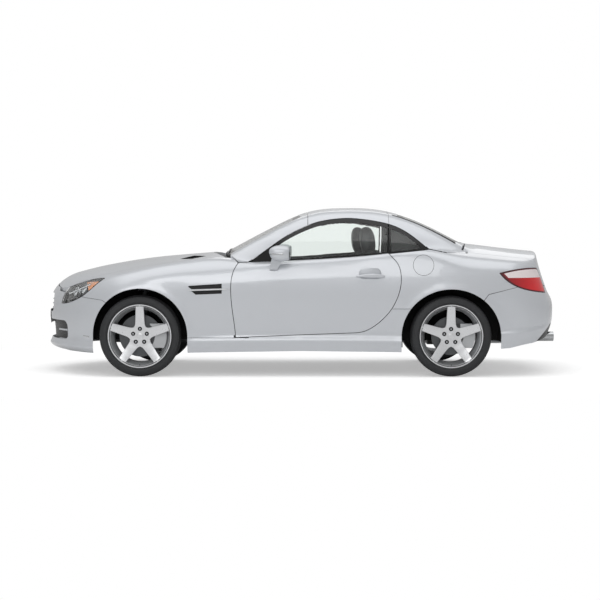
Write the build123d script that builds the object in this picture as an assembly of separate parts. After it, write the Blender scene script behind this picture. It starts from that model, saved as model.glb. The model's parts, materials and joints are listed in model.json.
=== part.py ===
"""A two-seat roadster with its folding hardtop closed, built as separate body panels, cabin pieces,
running gear and wheels.

Frame: millimetres, +X to the tail, +Y to the car's right-hand side, +Z up. The origin lies on the
ground, on the centre plane, halfway between the foremost and the rearmost point.
The outer skin is one smooth body, worked out by body() and cabin() below; every panel is a
thick patch of that skin, trimmed along its own shut lines.
"""

from build123d import *
import os
import numpy as np
from scipy.interpolate import CubicSpline

os.makedirs("parts", exist_ok=True)

# ---------------------------------------------------------------- driving dimensions
HALF_LENGTH = 2067.0      # nose and tail lie this far from the origin
WHEELBASE = 2430.0
FRONT_AXLE = -1250.0
REAR_AXLE = FRONT_AXLE + WHEELBASE
HALF_TRACK = 780.0        # wheel centre plane to centre plane of the car

FRONT_TYRE_R = 318.0
REAR_TYRE_R = 316.0
FRONT_TYRE_W = 225.0
REAR_TYRE_W = 245.0

MOVING_GAP = 5.0          # shut line round a panel that opens
FIXED_GAP = 3.0           # shut line between panels that stay
SKIN = 3.0                # fixed outer panels
SEAT = 0.3                # how far a seated piece lies from what carries it
LOOSE_SEAT = 0.8          # the same, between two curved skins
FAR = 1200.0              # cutters reach this far past the centre plane


# ---------------------------------------------------------------- the outer skin
def line(*points):
    """A smooth curve through (place, value) points, carried on straight past its ends."""
    place, value = (np.array(c, float) for c in zip(*points))
    spline = CubicSpline(place, value, bc_type="natural")
    slope = spline.derivative()

    def at(p):
        inside = np.clip(p, place[0], place[-1])
        return spline(inside) + (p - inside) * slope(inside)

    return at


def step(p, start, end):
    """0 before start, 1 after end, and a smooth rise between them."""
    t = np.clip((p - start) / (end - start), 0.0, 1.0)
    return t * t * (3 - 2 * t)


def rounded(a, b, radius, power=2.3):
    """The larger of two signed distances, with their edge rounded off."""
    u, v = a + radius, b + radius
    outside = (np.maximum(u, 0) ** power + np.maximum(v, 0) ** power) ** (1 / power)
    return outside + np.minimum(np.maximum(u, v), 0) - radius


def blended(a, b, radius):
    """The smaller of two signed distances, with a fillet in their corner."""
    return -rounded(-a, -b, radius)


widest = line((-2067, 842), (-1800, 868), (-1500, 893), (-1250, 903), (-900, 893), (-500, 884),
              (0, 880), (500, 884), (900, 897), (1180, 905), (1500, 893), (1800, 862), (2067, 815))
deck_top = line((-2067, 690), (-1980, 740), (-1902, 776), (-1802, 807), (-1652, 845), (-1502, 875),
                (-1301, 908), (-1101, 932), (-901, 949), (-701, 965), (-400, 975), (0, 975),
                (500, 992), (1000, 1026), (1302, 1038), (1402, 1030), (1602, 1006), (1802, 984),
                (2067, 960))
edge_drop = line((-2067, 150), (-1540, 104), (-1215, 74), (-929, 54), (-600, 58), (-420, 84),
                 (0, 66), (600, 44), (1000, 40), (1300, 104), (1600, 104), (1850, 112), (2067, 120))
shoulder = line((-2067, 130), (-1500, 120), (-1000, 115), (-600, 100), (-400, 40), (0, 28),
                (700, 28), (1000, 50), (1250, 90), (1600, 80), (1850, 60), (2067, 50))
ledge_height = line((-2067, 250), (-1600, 262), (-900, 292), (700, 300), (1300, 320), (1600, 350),
                    (1850, 378), (2067, 430))
crease_height = line((-1000, 715), (-540, 737), (24, 774), (430, 790), (900, 800))
nose = line((140, -1930), (180, -2003), (205, -2042), (228, -2064), (254, -2056), (319, -2047),
            (445, -2058), (584, -2054), (692, -2034), (745, -2000), (820, -1925))
tail = line((150, 1890), (200, 1950), (250, 1992), (300, 2022), (340, 2040), (414, 2062),
            (478, 2067), (560, 2064), (600, 2052), (640, 2030), (700, 2006), (824, 1964),
            (900, 1943), (946, 1932), (985, 1924))

WIDEST_Z = 640.0          # height of the body side's widest line
NOSE_BOW = 0.00058        # how far the nose curves back across its width, per mm
TAIL_BOW = 0.00020
NOSE_CORNER = 150.0       # rounding from the bumper's face to the body side
TAIL_CORNER = 210.0
ARCH_FRONT = (372.0, 372.0)   # wheel openings: half width at the hub, height over the hub
ARCH_REAR = (388.0, 366.0)


def body_side(x, z):
    """Half width of the lower body."""
    below = np.maximum(WIDEST_Z - z, 0) / 400
    above = np.maximum(z - WIDEST_Z, 0)
    side = widest(x) - 34 * below**2 - 0.00035 * above**2
    creased = step(x, -1000, -700) * (1 - step(x, 150, 650))
    over = z - crease_height(x)
    side = side - creased * 0.16 * (np.sqrt(over**2 + 6**2) + over) / 2
    side = side - (1 - creased) * 0.10 * (np.sqrt(over**2 + 60**2) + over) / 2
    side = side + 17 * (1 - step(z, ledge_height(x) - 14, ledge_height(x) + 10))
    for axle, (half, rise), hub in ((FRONT_AXLE, ARCH_FRONT, FRONT_TYRE_R), (REAR_AXLE, ARCH_REAR, REAR_TYRE_R)):
        r = np.hypot((x - axle) / half, (z - hub) / rise)
        side = side + 7 * np.exp(-(((r - 1.0) * 370 / 34) ** 2))
    return side


def body(x, y, z):
    """Signed distance, near enough, to the lower body: bumpers, wings, doors, bonnet and boot."""
    a = np.abs(y)
    side = a - body_side(x, z)
    top = (z - (deck_top(x) - edge_drop(x) * (a / 800) ** 2.2)) * 0.97
    front = (nose(z) + NOSE_BOW * a**2 - x) / np.sqrt(1 + (2 * NOSE_BOW * a) ** 2)
    rear = (x - tail(z) + TAIL_BOW * a**2) / np.sqrt(1 + (2 * TAIL_BOW * a) ** 2)
    plan = rounded(side, front, NOSE_CORNER)
    plan = rounded(plan, rear, TAIL_CORNER)
    lip = step(x, 1500, 1800)
    return rounded(plan, top, shoulder(x) * (1 - 0.75 * lip * (1 - step(a, 560, 700))))


roof_top = line((-640, 950), (-551, 1000), (-400, 1082), (-250, 1160), (-100, 1234), (0, 1275),
                (100, 1303), (200, 1319), (330, 1326), (480, 1326), (601, 1318), (701, 1302),
                (801, 1277), (901, 1244), (1001, 1203), (1101, 1156), (1201, 1104), (1301, 1050),
                (1400, 992))
glass_base = line((-560, 722), (-420, 748), (0, 778), (400, 786), (700, 778), (1000, 744), (1300, 690),
                  (1500, 640))
roof_edge = line((-600, 40), (0, 55), (400, 65), (800, 70), (1100, 90), (1400, 110))

ROOF_CROWN = 47.0         # fall of the roof at CROWN_AT from the centre plane
CROWN_AT = 640.0
GLASS_BASE_Z = 900.0
GLASS_LEAN = 0.44         # how far the side glass leans in, per mm of height
GLASS_BEND = 0.00022


def cabin_side(x, z):
    """Half width of the upper body: side windows and pillars."""
    up = z - GLASS_BASE_Z
    return glass_base(x) - GLASS_LEAN * up - GLASS_BEND * up * np.abs(up)


def cabin(x, y, z):
    """Signed distance, near enough, to the upper body: screen, roof, pillars and rear window."""
    a = np.abs(y)
    side = (a - cabin_side(x, z)) / np.hypot(1, GLASS_LEAN)
    top = (z - (roof_top(x) - ROOF_CROWN * (a / CROWN_AT) ** 2.2)) * 0.88
    return rounded(side, top, roof_edge(x))


def whole(x, y, z):
    """Both bodies, with the fillet that runs from the rear pillars into the quarters."""
    return blended(body(x, y, z), cabin(x, y, z), 14 + 16 * step(x, 850, 1150))


# ---------------------------------------------------------------- patches of the skin
def cast(field, start, way, reach):
    """Points where rays from start along way, inside the body at first, come out through field's surface."""
    near = np.zeros(start[0].shape)
    far = np.full(start[0].shape, float(reach))
    for _ in range(46):
        half = (near + far) / 2
        inside = field(*(s + half * w for s, w in zip(start, way))) < 0
        near = np.where(inside, half, near)
        far = np.where(inside, far, half)
    return [s + near * w for s, w in zip(start, way)]


def normals(field, x, y, z):
    """Unit outward normals of field at these points."""
    d = 0.5
    g = [field(x + d, y, z) - field(x - d, y, z),
         field(x, y + d, z) - field(x, y - d, z),
         field(x, y, z + d) - field(x, y, z - d)]
    size = np.sqrt(g[0] ** 2 + g[1] ** 2 + g[2] ** 2)
    return [c / size for c in g]


def slab(outer, inner):
    """A closed solid between two grids of points."""
    def face(grid):
        rows = np.stack(grid, -1)
        even = np.linspace(0, 1, rows.shape[1]).tolist()
        return Shell.make_loft([Wire([Edge.make_spline([Vector(*p) for p in row], parameters=even)])
                                for row in rows.tolist()]).face()

    top, bottom = face(outer), face(inner)
    sides = []
    for edge in top.edges():
        middle = edge @ 0.5
        mate = min(bottom.edges(), key=lambda e: (e @ 0.5 - middle).length)
        sides.append(Face.make_surface_from_curves(edge, mate))
    solid = Solid(Shell([top, bottom, *sides]))
    return solid if solid.volume > 0 else Solid(solid.wrapped.Reversed())


def patch(field, start, way, reach, thick, inset):
    """A slab of the skin, from inset to inset + thick under its surface, measured square to it."""
    skin = cast(field, start, way, reach)
    square = np.clip(sum(n * w for n, w in zip(normals(field, *skin), way)), 0.6, 1.0)
    return slab(*([p - depth / square * w for p, w in zip(skin, way)] for depth in (inset, inset + thick)))


def steps(a, b, size):
    return np.linspace(a, b, max(4, int(abs(b - a) / size) + 1))


def side(field, x0, x1, low, high, thick, inset=0.0, hub=(-350.0, 500.0), size=38.0, lean=(1e6, 0.0)):
    """The car's left side between x0 and x1, from angle low to angle high about a line inside it.
    Past lean[0] the rays lean towards the tail, by lean[1] at the last of them."""
    x, angle = np.meshgrid(steps(x0, x1, size), np.radians(steps(low, high, 2.8)), indexing="ij")
    start = (x, np.full_like(x, hub[0]), np.full_like(x, hub[1]))
    back = lean[1] * np.clip((x - lean[0]) / max(x1 - lean[0], 1.0), 0, 1)
    unit = np.sqrt(1 + back**2)
    return patch(field, start, (back / unit, -np.cos(angle) / unit, np.sin(angle) / unit), 1500, thick, inset)


def end(field, centre_x, sign, swing, z0, z1, thick, inset=0.0, size=17.0):
    """A bumper's skin: rays swing about an upright line at centre_x. sign is -1 at the nose."""
    angle, z = np.meshgrid(np.radians(steps(-swing, swing, 3.5)), steps(z0, z1, size), indexing="ij")
    start = (np.full_like(z, centre_x), 0 * z, z)
    return patch(field, start, (sign * np.cos(angle), np.sin(angle), 0 * z), 1500, thick, inset)


# ---------------------------------------------------------------- cutters
def smooth(*points):
    return Spline(*points)


def region(*edges):
    """A flat region from its edges, in order."""
    return make_face(Wire([e for item in edges for e in item.edges()]))


def polygon(*points):
    return make_face(Polyline(*points, close=True))


def grown(shape, by):
    """A flat region with its outline moved outwards by this much, its curves made plain splines again."""
    edges = []
    for edge in offset(shape, amount=by, kind=Kind.ARC).face().outer_wire().edges():
        if edge.geom_type in (GeomType.LINE, GeomType.CIRCLE):
            edges.append(edge)
        else:
            count = max(6, int(edge.length / 30))
            edges.append(Edge.make_spline([edge @ (k / count) for k in range(count + 1)], tangents=[edge % 0, edge % 1]))
    return make_face(Wire(edges))


def side_prism(shape, inner=0.0, outer=FAR):
    """A region in (x, z), pushed out to the car's left from inner to outer of the centre plane."""
    return extrude(Plane.XZ.offset(inner) * shape, amount=outer - inner)


def through_prism(shape):
    """A region in (x, z), pushed right through the car."""
    return extrude(Plane.XZ * shape, amount=FAR, both=True)


def top_prism(shape, low=0.0, high=1600.0):
    """A region in (x, y), pushed up from low to high."""
    return extrude(Plane.XY.offset(low) * shape, amount=high - low)


def end_prism(shape, x0, x1):
    """A region in (y, z), pushed from x0 to x1."""
    return extrude(Plane.YZ.offset(x0) * shape, amount=x1 - x0)


def block(x0, x1, y0, y1, z0, z1):
    return Pos((x0 + x1) / 2, (y0 + y1) / 2, (z0 + z1) / 2) * Box(x1 - x0, y1 - y0, z1 - z0)


def both_sides(shape):
    return shape + mirror(shape, about=Plane.XZ)


def solid_of(shape):
    """The largest solid of a cut, as slivers beyond the trimmed edge are waste."""
    return max(shape.solids(), key=lambda s: s.volume)


def save(name, *solids):
    """Writes one piece's solids as parts/name.step."""
    flat = [s for item in solids for s in (item.solids() if hasattr(item, "solids") else item)]
    export_step(Compound(children=flat) if len(flat) > 1 else flat[0], f"parts/{name}.step")


def save_pair(name, *solids):
    """Writes a left-hand piece, and its mirror image for the right."""
    save(name + "_left", *solids)
    save(name + "_right", *[mirror(s, about=Plane.XZ) for s in solids])


# ---------------------------------------------------------------- shut lines and openings

def door_region():
    """The door as seen from the side, up past the belt line."""
    front = smooth((-481, 886), (-524, 800), (-537, 652), (-520, 483), (-500, 310))
    bottom = Line((-500, 310), (430, 346))
    rear = Spline((430, 346), (601, 415), (705, 522), (768, 652), (786, 765), (762, 878), (690, 962),
                  tangents=[(1, 0.04), (-0.75, 0.9)])
    top = smooth((690, 962), (673, 960), (26, 911), (-418, 890), (-481, 886))
    return region(front, bottom, rear, top)


def window_region():
    """Both side windows as seen from the side: everything between the belt and the roof arc."""
    arc = smooth((-418, 888), (-310, 955), (-206, 1031), (-90, 1107), (26, 1165), (120, 1202), (261, 1230),
                 (379, 1238), (495, 1230), (613, 1212), (713, 1188), (789, 1158), (900, 1087), (978, 1023),
                 (1012, 993))
    bottom = smooth((1012, 993), (673, 958), (26, 908), (-418, 888))
    return region(arc, bottom)


DIVIDER_X = 701.0         # post between door window and quarter window
DIVIDER_W = 10.0


def bonnet_region():
    left = [(-592, -676), (-700, -700), (-1000, -712), (-1400, -698), (-1650, -646), (-1800, -572),
            (-1900, -448), (-1962, -250), (-1982, 0)]
    right = [(x, -y) for x, y in reversed(left[:-1])]
    rear = smooth((-592, 676), (-664, 420), (-706, 150), (-706, -150), (-664, -420), (-592, -676))
    return region(smooth(*left, *right), rear)


LID_FRONT = ((1283, 634), (1318, 450), (1345, 200), (1345, -200), (1318, -450), (1283, -634))


def boot_region():
    """The boot lid from above."""
    front = smooth(*LID_FRONT)
    left = smooth((1283, -634), (1480, -654), (1700, -645), (1850, -618), (1990, -560))
    right = smooth((1990, 560), (1850, 618), (1700, 645), (1480, 654), (1283, 634))
    end = Polyline((1990, -560), (2100, -520), (2100, 520), (1990, 560))
    return region(front, left, end, right)


def screen_region():
    """The windscreen from above."""
    left = Line((-548, -616), (6, -520))
    top = smooth((6, -520), (-12, -250), (-14, 0), (-12, 250), (6, 520))
    right = Line((6, 520), (-548, 616))
    base = smooth((-548, 616), (-586, 350), (-602, 0), (-586, -350), (-548, -616))
    return region(left, top, right, base)


def rear_window_region():
    left = Line((776, -530), (1232, -566))
    base = smooth((1232, -566), (1300, -330), (1326, 0), (1300, 330), (1232, 566))
    right = Line((1232, 566), (776, 530))
    top = smooth((776, 530), (788, 200), (788, -200), (776, -530))
    return region(left, base, right, top)


def arch_prism(axle, hub, arch):
    half, rise = arch
    return side_prism(Pos(axle, hub) * Ellipse(half, rise) + Pos(axle, hub - 200) * Rectangle(2 * half, 400), 420, FAR)


def fan(field, hinge, a0, a1, half, thick, inset=0.0, size=2.2, wide=38.0):
    """A car-wide panel: rays fan about a line across the car at hinge (x, z). 0 degrees points to the tail."""
    angle, y = np.meshgrid(np.radians(steps(a0, a1, size)), steps(-half, half, wide), indexing="ij")
    start = (np.full_like(y, hinge[0]), y, np.full_like(y, hinge[1]))
    return patch(field, start, (np.cos(angle), 0 * y, np.sin(angle)), 1800, thick, inset)


def carved(piece, keep=(), cut=()):
    """The largest solid of a patch that lies inside every shape in keep and outside every shape in cut."""
    for tool in keep:
        piece = piece & tool
    for tool in cut:
        piece = piece - tool
    return solid_of(piece)


# ---------------------------------------------------------------- regions of the panels, from the side
DOOR = door_region()
DOOR_HOLE = grown(DOOR, MOVING_GAP)
WINDOW = window_region()
BONNET = bonnet_region()
BONNET_HOLE = grown(BONNET, MOVING_GAP)
BOOT = boot_region()
BOOT_HOLE = grown(BOOT, MOVING_GAP)
SCREEN = screen_region()
REAR_SCREEN = rear_window_region()

HEADLAMP = region(
    smooth((-1534, 767), (-1600, 762), (-1669, 746), (-1760, 721), (-1826, 697), (-1862, 663)),
    smooth((-1862, 663), (-1890, 610), (-1907, 561)),
    smooth((-1907, 561), (-1850, 567), (-1792, 587), (-1715, 624), (-1605, 712), (-1534, 767)))
TAIL_LAMP = region(
    smooth((1556, 809), (1640, 828), (1750, 843), (1866, 845)),
    smooth((1866, 845), (1912, 760), (1942, 651)),
    smooth((1942, 651), (1820, 668), (1696, 702), (1610, 752), (1556, 809)))
FENDER = polygon((-1480, 560), (-1545, 600), (-1690, 618), (-1930, 660), (-1930, 1100), (-400, 1100),
                 (-400, 884), (-400, 306), (-1000, 306), (-1100, 420))
PILLAR_FOOT = polygon((-640, 985), (-560, 956), (-530, 934), (-480, 886), (-300, 886), (-300, 1100), (-640, 1100))
SILL = polygon((-1000, 303), (-400, 303), (-400, 400), (600, 500), (690, 529), (885, 529), (885, 192),
               (780, 192), (0, 200), (-850, 188), (-1000, 180))
REAR_BUMPER = polygon((1403, 556), (1470.5, 641.5), (1702, 700), (2200, 700), (2200, 300), (1930, 290),
                      (1835, 262), (1740, 247), (1640, 224), (1566, 219), (1403, 210))
QUARTER = polygon((640, 532), (900, 532), (1400, 560), (1468, 645), (1702, 703), (2100, 720), (2100, 1100),
                  (1330, 1100), (1328, 960), (1150, 964), (1012, 992), (700, 1000), (600, 1000))
REAR_FRAME = polygon((1016, 998), (1152, 969), (1340, 965), (1380, 990), (1300, 1400), (704, 1400), (704, 1015),
                     (1000, 1015))

side_arches = [arch_prism(FRONT_AXLE, FRONT_TYRE_R, ARCH_FRONT), arch_prism(REAR_AXLE, FRONT_TYRE_R, ARCH_REAR)]
window_hole = side_prism(grown(WINDOW, FIXED_GAP), 300)
window_through = through_prism(grown(WINDOW, FIXED_GAP))

# ---------------------------------------------------------------- front panels
bonnet_skin = carved(fan(body, (-1300, 300), 36, 152, 735, 24), [top_prism(BONNET)])

COWL_HALF = 690.0         # half width of the cowl between the fenders
door_swing_corner = side_prism(Pos(-503, 315) * Circle(14), 300)     # the door's lower corner swings in here
save_pair("front_fender", carved(
    side(body, -1880, -445, -30, 60, SKIN), [side_prism(FENDER, 300)],
    [top_prism(BONNET_HOLE), block(-680, -440, -COWL_HALF - FIXED_GAP, -300, 800, 1100), side_prism(DOOR_HOLE, 300),
     side_prism(grown(HEADLAMP, FIXED_GAP), 300), side_prism(grown(PILLAR_FOOT, FIXED_GAP), 300), side_arches[0],
     door_swing_corner]))

LAMP_DEPTH = 60.0
BUMPER_SKIN = 4.0
save_pair("headlamp", carved(end(body, -1400, -1, 99, 540, 790, LAMP_DEPTH), [side_prism(HEADLAMP, 300)], [top_prism(BONNET_HOLE)]))

under_nose = through_prism(polygon((-2200, 215), (-2000, 202), (-1850, 185), (-1400, 176), (-1400, 0), (-2200, 0)))
mouth = Pos(0, 560) * RectangleRounded(620, 150, 45)
intake = Pos(0, 350) * RectangleRounded(1180, 150, 50)
save("front_bumper", carved(
    end(body, -1400, -1, 97, 165, 790, BUMPER_SKIN), [],
    [through_prism(grown(FENDER, FIXED_GAP)), through_prism(grown(HEADLAMP, FIXED_GAP)), top_prism(BONNET_HOLE),
     both_sides(side_arches[0]), under_nose, end_prism(mouth, -2200, -1900), end_prism(intake, -2200, -1850)]))

upper_grille = carved(end(body, -1400, -1, 40, 475.3, 660, 14, inset=22),
                      [end_prism(Pos(0, 560) * RectangleRounded(640, 170, 45), -2200, -1850)])
lower_grille = carved(end(body, -1400, -1, 60, 250, 434.7, 12, inset=26),
                      [end_prism(Pos(0, 350) * RectangleRounded(1200, 170, 50), -2200, -1800)])
save("grille", upper_grille, lower_grille)

# ---------------------------------------------------------------- doors
DOOR_PIN = (-500.0, -858.0)   # hinge axis of the left door, from above
DOOR_PIN_R = 6.0
DOOR_EYE_R = 10.0
shelf = region(smooth((-620, -690), (-420, -724), (0, -752), (400, -760), (700, -752), (1000, -718)),
               Polyline((1000, -718), (1000, -1200), (-620, -1200), (-620, -690)))
door_skin = carved(side(body, -600, 840, -30, 58, 18), [side_prism(DOOR, 300), top_prism(shelf)])
inset = grown(DOOR, -26) & polygon((-405, 100), (900, 100), (900, 880), (-405, 845))
door_box = carved(side(body, -600, 840, -30, 58, 160, inset=7), [side_prism(inset, 712)])
GLASS_SLACK = 0.6         # each side of the glass where it runs through the door's top
HANDLE_SEAT = 862.0       # flat floor of the recess behind the handle
recess = side_prism(Pos(546, 806) * RectangleRounded(172, 84, 40), HANDLE_SEAT)

drop = region(smooth((1012, 993), (673, 958), (26, 908), (-418, 888)),
              Polyline((-418, 888), (-400, 845.13 + SEAT), (700, 874.63 + SEAT), (1000, 966), (1012, 993)))
slot = carved(side(cabin, -460, 1040, -2, 64, 5 + 2 * GLASS_SLACK, hub=(-300.0, 800.0), inset=4 - GLASS_SLACK),
              [side_prism(polygon((-440, 830), (DIVIDER_X, 850), (DIVIDER_X, 1100), (-440, 1100)), 300)])
hinge_pocket = block(-560, -470, -872, -800, 582, 688)
hinge_arm = block(DOOR_PIN[0], -440, -868, -848, 615, 655) + Pos(*DOOR_PIN, 635) * Cylinder(DOOR_EYE_R, 40)
hinge_arm -= Pos(*DOOR_PIN, 635) * Cylinder(DOOR_PIN_R + SEAT, 60)
door = solid_of(door_skin + door_box - recess - slot - hinge_pocket + hinge_arm)
save_pair("door", door)

side_glass = side(cabin, -460, 1040, -2, 64, 5, hub=(-300.0, 800.0), inset=4)
ahead = polygon((-430, 1300), (DIVIDER_X - DIVIDER_W / 2, 1300), (DIVIDER_X - DIVIDER_W / 2, 800), (-430, 800))
behind = polygon((DIVIDER_X + DIVIDER_W / 2, 800), (1100, 800), (1100, 1300), (DIVIDER_X + DIVIDER_W / 2, 1300))
save_pair("door_window", carved(side_glass, [side_prism((WINDOW + drop) & ahead, 300)]))
quarter_glass = carved(side_glass, [side_prism(grown(WINDOW, FIXED_GAP - LOOSE_SEAT) & behind, 300)])
save("quarter_windows", quarter_glass, mirror(quarter_glass, about=Plane.XZ))

# ---------------------------------------------------------------- sills, quarters, tail
WELL_FRONT = 402.0        # clear of the steered tyre's corners
WELL_REAR = 394.0
WELL_OUT = 864.0
WELL_SKIN = 4.0
well_voids = [side_prism(Pos(axle, FRONT_TYRE_R) * Circle(radius + WELL_SKIN + SEAT), 420, WELL_OUT + SEAT)
              for axle, radius in ((FRONT_AXLE, WELL_FRONT), (REAR_AXLE, WELL_REAR))]
save_pair("side_sill", carved(side(body, -905, 900, -34, 4, 150), [side_prism(SILL, 742.3)],
                              [side_prism(DOOR_HOLE, 300), *side_arches, *well_voids]))

inner_deck = top_prism(polygon((500, -600), (1400, -600), (1400, 0), (500, 0)))
save_pair("rear_quarter", carved(
    side(body, 610, 1700, -24, 48, SKIN, hub=(-150.0, 500.0), lean=(1300, 0.36)), [side_prism(QUARTER, 300)],
    [side_prism(DOOR_HOLE, 300), window_hole, top_prism(BOOT_HOLE), side_prism(grown(TAIL_LAMP, FIXED_GAP), 300),
     side_arches[1], inner_deck]))

BOOT_PIN = (1235.0, 1000.0)   # hinge axis of the boot lid, from the side
PIN_R_LID = 8.0


def gooseneck(pin, near, *path):
    """A bent flat arm, from its eye on a pin across the car along path, on both sides of the car."""
    arm = side_prism(trace(Polyline(pin, *path), 16) + Pos(*pin) * Circle(16), near, near + 12)
    return both_sides(arm - side_prism(Pos(*pin) * Circle(PIN_R_LID + SEAT), near - 1, near + 13))


LID_OVER_PIN = 36.0       # height of the lid's front edge over its hinge axis
LID_EASE = 0.5            # the lid's front face stands this far behind its own front line


def lid_sweep(less):
    """What the lid's front edge turns round: its front line swung about the hinge axis."""
    points = [(np.hypot(x - BOOT_PIN[0], LID_OVER_PIN) - less, y) for x, y in LID_FRONT]
    plan = region(smooth(*points), Polyline(points[-1], (0, points[-1][1]), (0, points[0][1]), points[0]))
    return Pos(BOOT_PIN[0], 0, BOOT_PIN[1]) * revolve(plan, axis=Axis.Y)


boot_arms = gooseneck(BOOT_PIN, 480, (1216, 896), (1289, 906), (1350, 950), (1420, 974))
boot_skin = carved(fan(whole, (1560, 600), 8, 128, 660, 24), [top_prism(BOOT)], [block(1000, 2200, -900, 900, 0, 705), lid_sweep(-LID_EASE)])
save("boot_lid", solid_of(boot_skin + boot_arms))

save_pair("tail_lamp", carved(end(body, 1400, 1, 99, 620, 860, LAMP_DEPTH), [side_prism(TAIL_LAMP, 300)], [top_prism(BOOT_HOLE)]))

EXHAUST_R = 38.0
EXHAUST_Z = 290.0
pipe_holes = end_prism(Pos(-430, EXHAUST_Z) * Circle(EXHAUST_R + 8), 1700, 2200)
save("rear_bumper", carved(end(body, 1400, 1, 97, 200, 790, BUMPER_SKIN), [through_prism(REAR_BUMPER)],
                           [through_prism(grown(TAIL_LAMP, FIXED_GAP)), both_sides(side_arches[1]),
                            both_sides(pipe_holes)]))

# ---------------------------------------------------------------- roof
ROOF_HUB = (380.0, 500.0)
FRONT_SEAM = 60.0
REAR_SEAM = 702.0
ROOF_THICK = 24.0
FRAME_THICK = 30.0
GLASS_SUNK = 3.0
GLASS_THICK = 6.0
PILLAR_FRONT = -548.0     # foremost point of the windscreen pillars
frame_side = polygon((FRONT_SEAM, 1450), (FRONT_SEAM, 880), (-478, 880), (-530, 912), (PILLAR_FRONT, 905),
                     (PILLAR_FRONT, 1450))
fender_corner = side_prism(polygon((-720, 850), (-470, 850), (-480, 889), (-530, 937), (-560, 959), (-640, 988), (-720, 1010)),
                           COWL_HALF)
screen_frame = carved(fan(whole, ROOF_HUB, 100, 157, 760, FRAME_THICK), [through_prism(frame_side)],
                      [top_prism(grown(SCREEN, LOOSE_SEAT)), window_through, both_sides(fender_corner),
                       through_prism(DOOR_HOLE)])
front_lip = carved(fan(whole, ROOF_HUB, 60, 120, 700, 9, inset=ROOF_THICK + LOOSE_SEAT),
                   [block(FRONT_SEAM - 40, FRONT_SEAM + 30, -500, 500, 900, 1400)])
save("windscreen_frame", solid_of(screen_frame + front_lip))
save("windscreen", carved(fan(whole, ROOF_HUB, 100, 157, 660, GLASS_THICK, inset=GLASS_SUNK), [top_prism(SCREEN)]))

COWL_DEPTH = 30.0         # cowl's depth under the line of the bonnet
COWL_THICK = 4.0
COWL_HUB = (-620.0, 500.0)
cowl_strip = carved(fan(whole, COWL_HUB, 60, 125, 720, COWL_THICK, inset=COWL_DEPTH),
                    [block(-745, PILLAR_FRONT - LOOSE_SEAT, -COWL_HALF + FIXED_GAP, COWL_HALF - FIXED_GAP, 800, 1100)],
                    [both_sides(block(-712, -500, -596, -556, 800, 1100))])
ledge_plan = region(smooth((-556, -616), (-594, -350), (-610, 0), (-594, 350), (-556, 616)), Line((-556, 616), (-530, 616)),
                    smooth((-530, 616), (-568, 350), (-584, 0), (-568, -350), (-530, -616)), Line((-530, -616), (-556, -616))) & Rectangle(2000, 1200)
cowl_ledge = carved(fan(whole, COWL_HUB, 60, 125, 720, COWL_DEPTH - 8, inset=GLASS_SUNK + GLASS_THICK + LOOSE_SEAT),
                    [top_prism(ledge_plan)])
save("cowl_panel", solid_of(cowl_strip + cowl_ledge))

roof_side = polygon((FRONT_SEAM + 4, 900), (REAR_SEAM, 900), (REAR_SEAM, 1400), (FRONT_SEAM + 4, 1400))
save("roof_panel", carved(fan(whole, ROOF_HUB, 62, 116, 760, ROOF_THICK), [through_prism(roof_side)], [window_through]))

rear_screen_frame = carved(fan(whole, ROOF_HUB, 25, 68, 760, FRAME_THICK), [through_prism(REAR_FRAME)],
                           [top_prism(grown(REAR_SCREEN, LOOSE_SEAT)), top_prism(BOOT_HOLE), window_through,
                            block(1270, 1420, -632, 632, 960, 1100) - lid_sweep(MOVING_GAP)])
rear_lip = carved(fan(whole, ROOF_HUB, 50, 110, 700, 9, inset=ROOF_THICK + LOOSE_SEAT),
                  [block(REAR_SEAM - 30, REAR_SEAM + 40, -500, 500, 900, 1400)])
save("rear_roof_frame", solid_of(rear_screen_frame + rear_lip))
save("rear_window", carved(fan(whole, ROOF_HUB, 26, 68, 660, GLASS_THICK, inset=GLASS_SUNK), [top_prism(REAR_SCREEN)]))

# ---------------------------------------------------------------- wheels
def turned(profile, axle, hub):
    """A closed profile of (radius, distance outboard of the wheel's centre plane), turned about the axle."""
    flat = make_face(profile) if isinstance(profile, Wire) else profile
    return Pos(axle, -HALF_TRACK, hub) * revolve(Plane.XY * (mirror(flat, about=Plane.XZ)), axis=Axis.Y)


RIM_R = 232.0             # tyre's inner radius, on the rim
RIM_HALF = 100.0          # half the distance between the rim's flanges
FACE = 35.0               # wheel's mounting face, outboard of its centre plane
STUDS = 5
PCD = 112.0
BOLT_R = 7.0              # bolt hole, and the deeper seat round the bolt's head
BOLT_SEAT_R = 12.0
SPINDLE_R = 28.0
RUNNING = 0.05            # radial clearance of a turning fit


def tyre(axle, radius, width):
    h = width / 2
    r = radius
    side_out = Spline((RIM_R + 18, RIM_HALF - SEAT), (RIM_R + 30, h - 3), (RIM_R + 46, h), (r - 19, h - 5.5),
                      (r - 7, h - 19), (r - 2, h - 34))
    crown = ThreePointArc((r - 2, h - 34), (r, 0), (r - 2, 34 - h))
    side_in = Spline((r - 2, 34 - h), (r - 7, 19 - h), (r - 19, 5.5 - h), (RIM_R + 46, -h), (RIM_R + 30, 3 - h),
                     (RIM_R + 18, SEAT - RIM_HALF))
    base = Polyline((RIM_R + 18, SEAT - RIM_HALF), (RIM_R + SEAT, SEAT - RIM_HALF), (RIM_R + SEAT, RIM_HALF - SEAT),
                    (RIM_R + 18, RIM_HALF - SEAT))
    return turned(region(side_out, crown, side_in, base), axle, radius)


def bolt_holes(axle, hub, radius, near, far):
    """The wheel's bolt holes, between two distances outboard of its centre plane."""
    angles = np.radians(90 + 360 / STUDS * np.arange(STUDS))
    return [Pos(axle + PCD / 2 * np.cos(a), -HALF_TRACK - (near + far) / 2, hub + PCD / 2 * np.sin(a))
            * (Rot(90, 0, 0) * Cylinder(radius, far - near)) for a in angles]


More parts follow.
